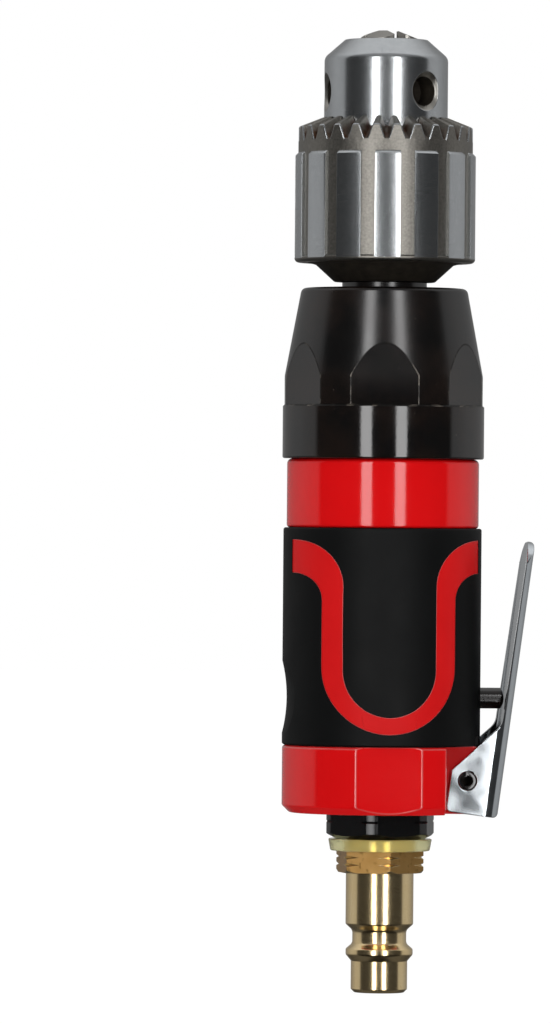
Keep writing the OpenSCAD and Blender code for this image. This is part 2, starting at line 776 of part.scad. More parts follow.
// Pin seal: an O-ring in the bush's gland
module pin_seal() {
    ring_r = 0.5;
    mid_r = throttle_pin_d / 2 + run_gap + ring_r + fit_gap;
    color(black_rubber) translate([bush_end_x - valve_bush_len + 0.6, 0, z_valve]) rotate([0, 90, 0])
        rotate_extrude() translate([mid_r, 0]) circle(r = ring_r);
}

// Valve poppet: closes the seat until the throttle pin pushes it back
module valve_poppet() {
    front_x = valve_seat_x - poppet_seal_t;
    guide_d = spring_d - spring_wire - 0.4;
    color(pale_brass) union() {
        cross_rod(poppet_d / 2, poppet_back_x, front_x);
        cross_rod(poppet_nib_d / 2, front_x, pin_start_x);
        cross_rod(guide_d / 2, poppet_back_x - 1.5, poppet_back_x);
    }
}

// Poppet seal: the rubber disc that meets the valve seat
module poppet_seal() {
    color(black_rubber) difference() {
        cross_rod(poppet_d / 2, valve_seat_x - poppet_seal_t, valve_seat_x);
        cross_rod(poppet_nib_d / 2 + fit_gap, 0, valve_seat_x + cut);
    }
}

// Valve spring: one wire swept along a helix between the valve plug and the poppet
spring_sides = 6;
spring_steps = 8;
spring_x0 = plug_inner_x - spring_pocket + spring_wire / 2 + 0.05;
spring_x1 = poppet_back_x - spring_wire / 2 - 0.05;
function spring_ring(t) =
    let (a = 360 * spring_turns * t, x = spring_x0 + (spring_x1 - spring_x0) * t)
    [
        for (k = [0:spring_sides - 1])
            let (
                b = 360 * k / spring_sides,
                r = spring_d / 2 + spring_wire / 2 * cos(b)
            )
            [x + spring_wire / 2 * sin(b), r * cos(a), r * sin(a) + z_valve]
    ];
module valve_spring() {
    rings = spring_turns * spring_steps;
    s = spring_sides;
    points = [for (i = [0:rings]) each spring_ring(i / rings)];
    walls = [
        for (i = [0:rings - 1], k = [0:s - 1])
            let (a = i * s + k, b = i * s + (k + 1) % s)
            each [[a, b, b + s], [a, b + s, a + s]]
    ];
    start = [for (k = [1:s - 2]) [0, k + 1, k]];
    end = [for (k = [1:s - 2]) [rings * s, rings * s + k, rings * s + k + 1]];
    color(dull_steel) polyhedron(points, concat(walls, start, end));
}
spring_gap = (spring_x1 - spring_x0) / spring_turns - spring_wire;
echo(least_gap_between_spring_turns = spring_gap);

// Valve plug: a slotted screw that closes the valve chamber behind the finger scoop
module valve_plug() {
    slot_w = 1.2;
    slot_depth = 1.5;
    color(dull_steel) difference() {
        cross_rod(valve_chamber_d / 2 - fit_gap, -plug_end_x, plug_inner_x);
        cross_rod(spring_d / 2 + spring_wire, plug_inner_x - spring_pocket, plug_inner_x + cut);
        translate([-plug_end_x - cut, -huge / 2, z_valve - slot_w / 2])
            cube([slot_depth + cut, huge, slot_w]);
    }
}

// Motor housing: red aluminium, the valve block behind and the motor's bore in front
module motor_housing() {
    ring_r = ring_d / 2;
    color(red_paint) difference() {
        revolve([
            [0, z_grip, 0], [core_r, z_grip, 0], [core_r, z_ring, 0], [ring_r, z_ring, ring_round],
            [ring_r, z_front, ring_round], [spigot_d / 2, z_front, 0],
            [spigot_d / 2, z_spigot, 0], [0, z_spigot, 0]
        ]);
        translate([0, 0, z_motor]) cylinder(r = housing_bore_r, h = huge);
        rear_sector(exhaust_arc - 10) translate([housing_bore_r - 0.2, z_motor - 0.2])
            square([exhaust_groove_r - housing_bore_r + 0.2, z_front - z_motor - 2]);
        rear_sector(exhaust_arc) translate([exhaust_in_d / 2, z_motor - collector_depth])
            square([exhaust_w, collector_depth + 0.5]);
        translate([0, 0, z_grip - cut])
            cylinder(r = cap_spigot_d / 2, h = cap_spigot_len + cut);
        translate([valve_seat_x - 2 - valve_inlet_d / 2, 0, z_grip])
            cylinder(d = valve_inlet_d, h = valve_up);
        for (turn = duct_turns)
            rotate([0, 0, turn]) translate([exhaust_mid_r, 0, z_grip - cut])
                cylinder(d = duct_d, h = valve_block_len - collector_depth + 2 * cut);
        cross_rod(valve_chamber_d / 2, -huge, valve_seat_x);
        cross_rod(valve_seat_d / 2, 0, valve_seat_x + seat_wall + cut);
        cross_rod(valve_bush_d / 2, valve_seat_x + seat_wall, huge);
        translate([feed_x, 0, z_valve]) cylinder(d = feed_d, h = huge);
    }
}

// Outline of one red inlay, seen from the front, with Z as its height
module inlay_outline() {
    leg_out = inlay_inner + inlay_leg;
    foot_out_z = z_grip + inlay_foot + leg_out;
    foot_in_z = z_grip + inlay_foot + inlay_foot_t + inlay_inner;
    top_z = z_grip + inlay_top;
    arm_r = inlay_reach - inlay_inner;
    hollow_r = inlay_reach - leg_out;
    hollow_z = top_z - inlay_arm - hollow_r;
    difference() {
        translate([0, foot_out_z]) circle(r = leg_out);
        translate([0, foot_in_z]) circle(r = inlay_inner);
        translate([-huge / 2, foot_out_z]) square(huge);
        translate([-inlay_inner, foot_in_z]) square([2 * inlay_inner, huge]);
    }
    for (side = [0, 1]) mirror([side, 0]) {
        translate([inlay_inner, foot_out_z]) square([inlay_leg, hollow_z - foot_out_z]);
        difference() {
            intersection() {
                translate([inlay_reach, top_z - arm_r]) circle(r = arm_r);
                translate([inlay_inner, top_z - arm_r]) square([arm_r, arm_r]);
            }
            translate([inlay_reach, hollow_z]) circle(r = hollow_r);
        }
        translate([inlay_inner, hollow_z]) square([inlay_leg, top_z - arm_r - hollow_z]);
    }
}

// The prism that an inlay fills, on the front or on the back of the grip
module inlay_prism(back) {
    rotate([90, 0, back ? 180 : 0]) linear_extrude(huge) inlay_outline();
}

// Grip sleeve: a soft black sleeve between the ring and the rear cap
module grip_sleeve() {
    grip_r = grip_d / 2;
    floor_r = grip_r - inlay_sink - inlay_t;
    notch_w = lever_sheet + 2 * 0.3;
    notch_h = 1.8;
    color(black_rubber) difference() {
        revolve([
            [core_r + fit_gap, z_grip, 0], [grip_r, z_grip, 0.4], [grip_r, z_ring, 0.4],
            [core_r + fit_gap, z_ring, 0]
        ]);
        for (back = [false, true]) difference() {
            inlay_prism(back);
            cylinder(r = floor_r, h = huge);
        }
        intersection() {
            rotate_extrude() translate([grip_r - scoop_depth + scoop_bend, z_valve])
                circle(r = scoop_bend);
            cross_rod(scoop_d / 2, -huge, 0);
        }
        cross_rod(throttle_pin_d / 2 + 0.25, 0, huge);
        for (side = [0, 1]) mirror([0, side, 0])
            translate([0, lever_w / 2 + 0.3 - notch_w, z_grip - cut])
                cube([huge, notch_w, notch_h + cut]);
    }
}

// Grip inlay: a red band let into the grip, shaped like a U with arms that turn outwards
module grip_inlay(back) {
    outer_r = grip_d / 2 - inlay_sink;
    color(red_paint) intersection() {
        ring(outer_r, outer_r - inlay_t + fit_gap, z_grip, z_ring);
        inlay_prism(back);
    }
}
module grip_inlay_front() {
    grip_inlay(false);
}
module grip_inlay_back() {
    grip_inlay(true);
}

// Rear gasket: seals the valve block to the rear end plate
module rear_gasket() {
    color("#5d5a50") difference() {
        ring(cylinder_d / 2, rotor_journal_r + 0.5, z_motor, z_rear_plate);
        translate([feed_x, 0, 0]) cylinder(d = feed_d, h = huge);
    }
}

// One end plate of the motor, with a pocket for a bearing on its outer face
module end_plate(z0, pocket_z) {
    color(dull_steel) difference() {
        ring(cylinder_d / 2, plate_hole_r, z0, z0 + plate_t);
        translate([0, 0, pocket_z]) cylinder(r = rotor_bearing_d / 2 + fit_gap, h = rotor_bearing_w);
        children();
    }
}
module dowels(r) {
    for (z = [z_cylinder, z_front_plate])
        translate([cylinder_offset - (cylinder_d + cylinder_bore_d) / 4, 0, z - dowel_len / 2])
            cylinder(r = r, h = dowel_len);
}

// Rear end plate: carries the rear bearing and lets air through to the vanes
module rear_end_plate() {
    end_plate(z_rear_plate, z_rear_plate) {
        translate([feed_x, 0, 0]) cylinder(d = feed_d, h = huge);
        dowels(dowel_d / 2 + fit_gap);
    }
}

// Front end plate: carries the front bearing
module front_end_plate() {
    end_plate(z_front_plate, z_spigot - rotor_bearing_w) dowels(dowel_d / 2 + fit_gap);
}

// Motor cylinder: its bore lies off the axis, and its ports open into the exhaust groove
module motor_cylinder() {
    port_d = 3;
    port_rows = 4;
    length = z_front_plate - z_cylinder;
    color(dull_steel) difference() {
        translate([0, 0, z_cylinder]) cylinder(d = cylinder_d, h = length);
        translate([cylinder_offset, 0, z_cylinder - cut])
            cylinder(d = cylinder_bore_d, h = length + 2 * cut);
        for (row = [1:port_rows], turn = [150, 210])
            translate([0, 0, z_cylinder + length * row / (port_rows + 2)]) rotate([0, 90, turn])
                cylinder(d = port_d, h = huge);
        dowels(dowel_d / 2 + fit_gap);
    }
}

// Cylinder dowels: hold the end plates in line with the cylinder
module cylinder_dowels() {
    color(bright_steel) dowels(dowel_d / 2);
}

// Where a vane lies when it is pushed home, and the slot it slides in
module vane_at(i, thick, low_r, high_r, z0, z1) {
    rotate([0, 0, 360 * (i - 1) / vane_count]) translate([low_r, -thick / 2, z0])
        cube([high_r - low_r, thick, z1 - z0]);
}

// Rotor: a slotted drum with the sun pinion cut on its front end
module rotor() {
    rotor_r = rotor_d / 2;
    z0 = z_cylinder + rotor_play;
    z1 = z_front_plate - rotor_play;
    z_end = z_carrier - 0.2;
    slot_low = rotor_r - vane_h - 0.5;
    pinion_pitch_r = sun_teeth * gear_module / 2;
    color(dull_steel) difference() {
        union() {
            translate([0, 0, z0]) cylinder(r = rotor_r, h = z1 - z0);
            translate([0, 0, z_rear_plate + 0.1])
                cylinder(r = rotor_journal_r, h = z_spigot - z_rear_plate);
            translate([0, 0, z_spigot]) linear_extrude(z_end - z_spigot) polygon(gear_outline(
                sun_teeth, pinion_pitch_r - tooth_root, pinion_pitch_r + tooth_tip, backlash
            ));
        }
        for (i = [1:vane_count])
            vane_at(i, vane_t + 2 * run_gap, slot_low, rotor_r + cut, z0 - cut, z1 + cut);
    }
}

// Vane: a resin-bonded blade, drawn pushed home in its slot
module vane(i) {
    high_r = rotor_d / 2 - 0.1;
    color("#6b4a2c") vane_at(
        i, vane_t, high_r - vane_h, high_r, z_cylinder + rotor_play, z_front_plate - rotor_play
    );
}

// One bearing is given as [bore, outside diameter, width, number of balls, height of its rear face]
rotor_rear = [rotor_bearing_bore, rotor_bearing_d, rotor_bearing_w, rotor_bearing_balls, z_rear_plate];
rotor_front = [
    rotor_bearing_bore, rotor_bearing_d, rotor_bearing_w, rotor_bearing_balls, z_spigot - rotor_bearing_w
];
spindle_rear = [
    spindle_d, spindle_bearing_d, spindle_bearing_w, spindle_bearing_balls, z_rear_bearing
];
spindle_front = [
    spindle_d, spindle_bearing_d, spindle_bearing_w, spindle_bearing_balls, z_front_bearing
];
function pitch_r(b) = (b[0] + b[1]) / 4;
function ball_r(b) = bearing_ball_share * (b[1] - b[0]) / 2;

// Groove that the balls run in
module ball_groove(b) {
    translate([0, 0, b[4] + b[2] / 2]) rotate_extrude() translate([pitch_r(b), 0])
        circle(r = ball_r(b) + run_gap);
}

// Outer race, inner race and balls of a bearing
module outer_race(b) {
    color(bright_steel) difference() {
        ring(b[1] / 2, pitch_r(b) + 0.55 * ball_r(b), b[4], b[4] + b[2]);
        ball_groove(b);
    }
}
module inner_race(b) {
    color(bright_steel) difference() {
        ring(pitch_r(b) - 0.55 * ball_r(b), b[0] / 2, b[4], b[4] + b[2]);
        ball_groove(b);
    }
}
module balls(b) {
    color(chrome) for (i = [0:b[3] - 1])
        rotate([0, 0, 360 * i / b[3]]) translate([pitch_r(b), 0, b[4] + b[2] / 2]) sphere(r = ball_r(b));
}

// Gear spacer: closes the motor and keeps the planets off it
module gear_spacer() {
    color(dull_steel) ring(spigot_d / 2, rotor_journal_r + 1, z_spigot, z_gears);
}

// Ring gear: the fixed internal gear in the front housing
module ring_gear() {
    ring_pitch_r = ring_teeth * gear_module / 2;
    half_pitch = 180 / ring_teeth * ((planet_teeth + 1) % 2);
    color(dull_steel) translate([0, 0, z_gears]) rotate([0, 0, half_pitch])
        difference() {
            cylinder(d = spigot_d, h = ring_gear_len);
            translate([0, 0, -cut]) linear_extrude(ring_gear_len + 2 * cut) polygon(gear_outline(
                ring_teeth, ring_pitch_r - tooth_tip, ring_pitch_r + tooth_root, -backlash
            ));
        }
}

// Planet gear number i, turned so that its teeth mesh with the sun and with the ring
module planet_gear(i) {
    at = 360 * (i - 1) / planet_count;
    turn = at + 180 - 180 / planet_teeth + at * sun_teeth / planet_teeth;
    planet_pitch_r = planet_teeth * gear_module / 2;
    color(bright_steel) translate([carrier_r * cos(at), carrier_r * sin(at), z_planets])
        rotate([0, 0, turn]) difference() {
            linear_extrude(planet_w) polygon(gear_outline(
                planet_teeth, planet_pitch_r - tooth_root, planet_pitch_r + tooth_tip, backlash
            ));
            translate([0, 0, -cut]) cylinder(r = planet_pin_d / 2 + run_gap, h = planet_w + 2 * cut);
        }
}

// Where the planet pins stand
module at_planets() {
    for (i = [1:planet_count]) {
        at = 360 * (i - 1) / planet_count;
        translate([carrier_r * cos(at), carrier_r * sin(at), 0]) children();
    }
}

// Planet pins: pressed into the carrier
module planet_pins() {
    z0 = z_gears + 0.2;
    color(bright_steel) at_planets() translate([0, 0, z0])
        cylinder(d = planet_pin_d, h = z_spindle_shoulder - z0);
}

// Spindle: the planet carrier, the shaft in its two bearings and the end that carries the chuck
module spindle() {
    spindle_r = spindle_d / 2 - fit_gap;
    shoulder_r = spindle_r + 1;
    thread_r = spindle_thread_d / 2 - fit_gap;
    thread_end = z_chuck + spindle_thread_len;
    color(dull_steel) difference() {
        revolve([
            [0, z_carrier, 0], [carrier_flange_r, z_carrier, 0],
            [carrier_flange_r, z_spindle_shoulder, 0], [shoulder_r, z_spindle_shoulder, 0],
            [shoulder_r, z_rear_bearing, 0], [spindle_r, z_rear_bearing, 0], [spindle_r, z_chuck, 0],
            [thread_r, z_chuck, 0], [thread_r, thread_end - 0.8, 0], [thread_r - 0.8, thread_end, 0],
            [0, thread_end, 0]
        ]);
        at_planets() translate([0, 0, z_carrier - cut])
            cylinder(r = planet_pin_d / 2 + fit_gap, h = carrier_t + 2 * cut);
    }
}

// Bearing spacer: keeps the inner races of the spindle bearings apart
module bearing_spacer() {
    color(dull_steel) ring(
        spindle_d / 2 + 1.1, spindle_d / 2, z_rear_bearing + spindle_bearing_w, z_front_bearing
    );
}

// Spindle collar: the black ring that the chuck is screwed down on
module spindle_collar() {
    color(black_oxide) ring(collar_d / 2, spindle_d / 2, z_front_bearing + spindle_bearing_w, z_chuck);
}

// Nose seal: a felt ring between the collar and the lip of the front housing
module nose_seal() {
    color(black_rubber) ring(
        lip_r - fit_gap, collar_d / 2 + run_gap, z_nose - lip_t + side_gap, z_nose - side_gap
    );
}

// Front housing: black steel, a plain band, six spanner flats and a cone down to the spindle
module front_housing() {
    body_r = body_d / 2;
    band_r = body_r + band_step;
    ring_seat = z_ring_end + fit_gap;
    color(black_oxide) difference() {
        revolve([
            [0, z_front, 0], [band_r, z_front, 0.4], [band_r, z_flats, 0.3], [body_r, z_flats, 0],
            [body_r, z_cone, 2], [body_r - cone_drop, z_nose, cone_round], [0, z_nose, 0]
        ]);
        for (i = [0:5]) rotate([0, 0, flats_turn + 60 * i])
            translate([body_r - flat_depth, -huge / 2, z_flats]) cube([huge, huge, huge]);
        translate([0, 0, z_front - cut])
            cylinder(r = spigot_d / 2 + run_gap, h = ring_seat - z_front + cut);
        translate([0, 0, z_front]) cylinder(r = carrier_flange_r + 0.8, h = z_pocket - z_front);
        translate([0, 0, z_front])
            cylinder(r = bearing_pocket_r, h = z_nose - lip_t - z_front);
        translate([0, 0, z_front]) cylinder(r = lip_r, h = huge);
    }
}

// Places a shape on the line that a jaw slides along, with Z along that line and 0 at the nose's face
module on_jaw_line(i) {
    rotate([0, 0, key_turn + 60 + 120 * (i - 1)]) translate([jaw_offset, 0, z_face])
        rotate([0, -jaw_slope, 0]) children();
}

// Chuck body: a solid nose with three sloping bores for the jaws
module chuck_body() {
    nose_r = nose_d / 2;
    bore_deep = (z_face - z_jaw_rear) / cos(jaw_slope) + jaw_retract;
    sink_depth = (key_sink_d - key_hole_d) / 2;
    color(bright_steel) difference() {
        revolve([
            [0, z_chuck, 0], [rear_cone_d1 / 2, z_chuck, 0.5],
            [rear_cone_d2 / 2, z_chuck + rear_cone_len, 0], [chuck_rear_r, z_sleeve, 0],
            [chuck_rear_r, z_nut - nut_room, 0], [nut_floor_r, z_nut - nut_room, 0],
            [nut_floor_r, z_nut + nut_len + nut_room, 0], [nose_r, z_nut + nut_len + nut_room, 0],
            [nose_r, z_face - face_slope, 1.6], [face_d / 2, z_face, 0.4], [0, z_face, 0]
        ]);
        translate([0, 0, z_chuck - cut])
            cylinder(d = spindle_thread_d, h = spindle_thread_len + cut + 0.5);
        translate([0, 0, z_chuck]) cylinder(d = chuck_bore_d, h = huge);
        for (i = [1:3]) on_jaw_line(i) translate([0, 0, -bore_deep])
            cylinder(r = jaw_d / 2 + run_gap, h = huge);
        for (i = [0:2]) rotate([0, 0, key_turn + 120 * i])
            translate([nose_r - key_hole_depth, 0, z_face - key_hole_back]) rotate([0, 90, 0]) {
                cylinder(d = key_hole_d, h = huge);
                translate([0, 0, key_hole_depth - sink_depth])
                    cylinder(d1 = key_hole_d, d2 = key_hole_d + 4 * sink_depth, h = 2 * sink_depth);
            }
    }
}

// One gap of the crown, tapering to the point on the axis that all its teeth point at
module crown_gap() {
    root_z = z_crown - crown_depth;
    root_r = sleeve_root_d / 2;
    dip = atan((crown_apex - root_z) / root_r);
    foot = 0.5;
    spread = atan(foot / root_r * cos(dip));
    flank_lean = 21;
    start = nose_d / 2 - cut;
    translate([0, 0, crown_apex]) rotate([0, dip, 0]) intersection() {
        translate([start, -crown_depth, 0]) cube([root_r, 2 * crown_depth, crown_depth]);
        gap_side(spread, flank_lean);
        mirror([0, 1, 0]) gap_side(spread, flank_lean);
    }
}

// A block on one side of a tooth's flank, which leans out and passes through the apex
module gap_side(spread, lean) {
    size = 2 * sleeve_d;
    rotate([0, 0, spread]) rotate([-lean, 0, 0]) translate([0, -size, -size / 2]) cube(size);
}

// Chuck sleeve: ribbed for the hand, with a bevel crown that the key turns
module chuck_sleeve() {
    rib_r = sleeve_d / 2;
    root_r = sleeve_root_d / 2;
    nose_r = nose_d / 2 + run_gap;
    edge = 0.3;
    rib_foot = z_sleeve + edge;
    rib_end = z_sleeve + rib_len;
    rib_arc = 360 / rib_count - rib_gap;
    color(dull_steel) difference() {
        union() {
            revolve([
                [sleeve_bore_r, z_sleeve, 0], [root_r - edge, z_sleeve, 0], [root_r, rib_foot, 0],
                [root_r, z_crown, 0], [nose_r, z_crown + crown_rise, 0],
                [nose_r, z_nut + nut_len + nut_room, 0], [nut_d / 2, z_nut + nut_len + nut_room, 0],
                [nut_d / 2, z_nut, 0], [sleeve_bore_r, z_nut, 0]
            ]);
            for (i = [0:rib_count - 1]) rotate([0, 0, rib_turn + 360 * i / rib_count - rib_arc / 2])
                rotate_extrude(angle = rib_arc) polygon([
                    [root_r - edge, rib_foot], [root_r, rib_foot], [rib_r, rib_foot + rib_r - root_r],
                    [rib_r, rib_end - rib_r + root_r], [root_r, rib_end], [root_r - edge, rib_end]
                ]);
        }
        for (i = [0:crown_teeth - 1])
            rotate([0, 0, crown_turn + 360 * i / crown_teeth]) crown_gap();
    }
}

// Chuck nut: split in two, pressed into the sleeve, its taper drives the jaws
module chuck_nut() {
    split = 0.3;
    z_end = z_nut + nut_len;
    reach = jaw_d / 2 / cos(jaw_slope) + jaw_offset + 0.12;
    low_r = reach + (z_face - z_nut) * jaw_rise;
    high_r = reach + (z_face - z_end) * jaw_rise;
    outer_r = nut_d / 2 - fit_gap;
    color(dull_steel) difference() {
        revolve([[low_r, z_nut, 0], [outer_r, z_nut, 0], [outer_r, z_end, 0], [high_r, z_end, 0]]);
        translate([-huge / 2, -split / 2, z_nut - cut]) cube([huge, split, nut_len + 2 * cut]);
    }
}

// Chuck jaw number i: a sloping rod, ground to a wedge with a hollow edge that grips the drill
module chuck_jaw(i) {
    rod_front = (z_jaw_tip - z_face) / cos(jaw_slope) + jaw_d;
    rod_rear = (z_face - z_jaw_rear) / cos(jaw_slope);
    end_apex = z_jaw_tip + jaw_grip_r * tan(jaw_end_slope);
    end_r = 30;
    wedge = nose_d;
    color(bright_steel) difference() {
        intersection() {
            on_jaw_line(i) translate([0, 0, -rod_rear]) cylinder(d = jaw_d, h = rod_rear + rod_front);
            rotate([0, 0, key_turn + 60 + 120 * (i - 1)]) linear_extrude(huge) polygon([
                [jaw_apex, 0], [jaw_apex + wedge, -wedge * tan(60)], [jaw_apex + wedge, wedge * tan(60)]
            ]);
            translate([0, 0, end_apex - end_r * tan(jaw_end_slope) - jaw_len]) union() {
                cylinder(r = end_r, h = jaw_len);
                translate([0, 0, jaw_len])
                    cylinder(r1 = end_r, r2 = 0, h = end_r * tan(jaw_end_slope));
            }
        }
        cylinder(r = jaw_grip_r, h = huge);
    }
}

air_plug();
sealing_washer();
inlet_bush();
inlet_screen();
rear_cap();
exhaust_silencer();
lever_pin();
throttle_lever();
throttle_pin();
valve_bush();
pin_seal();
valve_poppet();
poppet_seal();
valve_spring();
valve_plug();
motor_housing();
grip_sleeve();
grip_inlay_front();
grip_inlay_back();
rear_gasket();
rear_end_plate();
motor_cylinder();
front_end_plate();
cylinder_dowels();
rotor();
vane(1);  // vane_1
vane(2);  // vane_2
vane(3);  // vane_3
vane(4);  // vane_4
vane(5);  // vane_5
outer_race(rotor_rear);  // rotor_rear_bearing_outer
inner_race(rotor_rear);  // rotor_rear_bearing_inner
balls(rotor_rear);  // rotor_rear_bearing_balls
outer_race(rotor_front);  // rotor_front_bearing_outer
inner_race(rotor_front);  // rotor_front_bearing_inner
balls(rotor_front);  // rotor_front_bearing_balls
gear_spacer();
ring_gear();
planet_gear(1);  // planet_gear_1
planet_gear(2);  // planet_gear_2
planet_gear(3);  // planet_gear_3
planet_pins();
spindle();
outer_race(spindle_rear);  // spindle_rear_bearing_outer
inner_race(spindle_rear);  // spindle_rear_bearing_inner
balls(spindle_rear);  // spindle_rear_bearing_balls
outer_race(spindle_front);  // spindle_front_bearing_outer
inner_race(spindle_front);  // spindle_front_bearing_inner
balls(spindle_front);  // spindle_front_bearing_balls
bearing_spacer();
spindle_collar();
nose_seal();
front_housing();
chuck_body();
chuck_sleeve();
chuck_nut();
chuck_jaw(1);  // chuck_jaw_1
chuck_jaw(2);  // chuck_jaw_2
chuck_jaw(3);  // chuck_jaw_3
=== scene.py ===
# Inline air drill with a keyed chuck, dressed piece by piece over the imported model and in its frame.
# Sizes are written in millimetres, with Z along the tool and the chuck up, and become metres in the mesh.
from math import atan2, cos, pi, radians, sin, sqrt, tan

import bpy
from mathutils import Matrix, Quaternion, Vector


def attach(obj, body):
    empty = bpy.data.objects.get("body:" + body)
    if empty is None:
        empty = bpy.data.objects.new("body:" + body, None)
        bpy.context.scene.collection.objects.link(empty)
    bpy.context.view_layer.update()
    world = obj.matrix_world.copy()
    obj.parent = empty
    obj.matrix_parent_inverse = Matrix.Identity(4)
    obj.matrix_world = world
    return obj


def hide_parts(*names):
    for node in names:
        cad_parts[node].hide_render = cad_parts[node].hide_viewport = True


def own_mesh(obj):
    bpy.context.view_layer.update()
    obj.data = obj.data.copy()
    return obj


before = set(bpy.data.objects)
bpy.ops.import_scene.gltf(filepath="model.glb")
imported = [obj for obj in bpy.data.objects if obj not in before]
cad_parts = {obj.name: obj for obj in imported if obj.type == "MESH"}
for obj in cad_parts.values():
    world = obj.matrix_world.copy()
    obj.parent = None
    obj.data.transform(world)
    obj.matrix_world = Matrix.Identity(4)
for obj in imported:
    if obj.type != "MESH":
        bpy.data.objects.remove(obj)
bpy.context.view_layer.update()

# Motor housing
# The backbone of the drill: an aluminium body bored for the vane motor and the throttle valve.
# Only its ring shows, between the grip that is pushed over it and the front housing that screws on.
MM = 0.001
# Points that are closer than this, in millimetres, are one point
WELD = 0.002


def only(piece):
    """Selects one piece alone and makes it the active one."""
    bpy.ops.object.select_all(action="DESELECT")
    piece.select_set(True)
    bpy.context.view_layer.objects.active = piece


def edit(piece):
    """Opens one piece for shaping, with all its points selected."""
    only(piece)
    bpy.ops.object.mode_set(mode="EDIT")
    bpy.ops.mesh.select_mode(type="VERT")
    bpy.ops.mesh.select_all(action="SELECT")


def applied(piece, kind, **settings):
    """Adds one modifier to a piece and applies it."""
    only(piece)
    modifier = piece.modifiers.new(kind.lower(), kind)
    for key, value in settings.items():
        setattr(modifier, key, value)
    bpy.ops.object.modifier_apply(modifier=modifier.name)


def rounded(outline, steps=6):
    """Replaces each corner that is given as (x, z, radius) by an arc."""
    points = []
    for i, spot in enumerate(outline):
        at = Vector(spot[:2])
        if len(spot) == 2:
            points.append(at)
            continue
        radius = spot[2]
        back = (Vector(outline[i - 1][:2]) - at).normalized()
        ahead = (Vector(outline[(i + 1) % len(outline)][:2]) - at).normalized()
        half = back.angle(ahead) / 2
        centre = at + (back + ahead).normalized() * radius / sin(half)
        start = at + back * radius / tan(half) - centre
        end = at + ahead * radius / tan(half) - centre
        first = atan2(start.y, start.x)
        sweep = (atan2(end.y, end.x) - first + pi) % (2 * pi) - pi
        for k in range(steps + 1):
            turn = first + sweep * k / steps
            points.append(centre + radius * Vector((cos(turn), sin(turn))))
    return points


def turned(name, outline, sides=128):
    """A lathe pass: a circle is drawn out ring by ring along an outline of (radius, height)."""
    points = [(max(p.x, WELD / 5), p.y) for p in rounded(outline)]
    radius, height = points[0]
    bpy.ops.object.select_all(action="DESELECT")
    bpy.ops.mesh.primitive_circle_add(vertices=sides, radius=radius * MM, location=(0, 0, height * MM))
    piece = bpy.context.object
    piece.name = name
    piece.data.name = name
    bpy.ops.object.transform_apply()
    edit(piece)
    path = points[1:]
    if outline[0][0] > 0:
        path = path + points[:1]
    for r, z in path:
        bpy.ops.mesh.extrude_region_move(TRANSFORM_OT_translate={"value": (0, 0, (z - height) * MM)})
        bpy.ops.transform.resize(value=(r / radius, r / radius, 1), center_override=(0, 0, z * MM))
        radius, height = r, z
    bpy.ops.mesh.select_all(action="SELECT")
    bpy.ops.mesh.remove_doubles(threshold=WELD * MM)
    bpy.ops.mesh.normals_make_consistent(inside=False)
    bpy.ops.object.mode_set(mode="OBJECT")
    return piece


def rod(radius, start, end, sides=48):
    """A round cutter between two points."""
    start = Vector(start) * MM
    end = Vector(end) * MM
    way = end - start
    bpy.ops.object.select_all(action="DESELECT")
    bpy.ops.mesh.primitive_cylinder_add(
        vertices=sides, radius=radius * MM, depth=way.length,
        location=(start + end) / 2, rotation=way.to_track_quat("Z", "Y").to_euler(),
    )
    return bpy.context.object


def slice_off(piece, point, normal):
    """Removes what lies beyond a plane and closes the cut."""
    edit(piece)
    bpy.ops.mesh.bisect(
        plane_co=Vector(point) * MM, plane_no=normal, use_fill=True, clear_outer=True, threshold=0.00001 * MM
    )
    bpy.ops.object.mode_set(mode="OBJECT")


def sector(name, outline, middle, arc, sides=128):
    """A turned ring of which only an arc, centred on one angle, is kept."""
    piece = turned(name, outline, sides)
    for side in (-1, 1):
        turn = radians(middle + side * arc / 2)
        slice_off(piece, (0, 0, 0), (-side * sin(turn), side * cos(turn), 0))
    return piece


def cut(piece, *tools, operation="DIFFERENCE"):
    """Cuts each tool out of a piece, or joins it on, and throws the tool away."""
    for tool in tools:
        applied(piece, "BOOLEAN", object=tool, operation=operation, solver="MANIFOLD")
        piece.data.materials.clear()
        bpy.data.objects.remove(tool)


def smoothed(piece, bevel=0, segments=3, limit=30, edge_highlight_and_wear=-1):
    """Breaks the sharp edges, then shades the rest smooth."""
    if bevel:
        applied(
            piece, "BEVEL", width=bevel * MM, segments=segments, limit_method="ANGLE",
            angle_limit=radians(limit), use_clamp_overlap=False, material=edge_highlight_and_wear,
        )
    merged(piece, WELD)
    only(piece)
    bpy.ops.object.shade_smooth_by_angle(angle=radians(limit))
    applied(piece, "WEIGHTED_NORMAL", keep_sharp=True, weight=90)


def merged(piece, gap):
    """Joins points closer than a gap, and drops those that only lie along a straight edge."""
    edit(piece)
    bpy.ops.mesh.remove_doubles(threshold=gap * MM)
    bpy.ops.mesh.select_all(action="DESELECT")
    bpy.ops.object.mode_set(mode="OBJECT")
    reach = {}
    for edge in piece.data.edges:
        a, b = edge.vertices
        reach.setdefault(a, []).append(b)
        reach.setdefault(b, []).append(a)
    for point, ends in reach.items():
        if len(ends) == 2:
            here = piece.data.vertices[point].co
            one, other = [(piece.data.vertices[end].co - here).normalized() for end in ends]
            piece.data.vertices[point].select = one.dot(other) < -0.99999
    bpy.ops.object.mode_set(mode="EDIT")
    bpy.ops.mesh.dissolve_verts()
    bpy.ops.object.mode_set(mode="OBJECT")
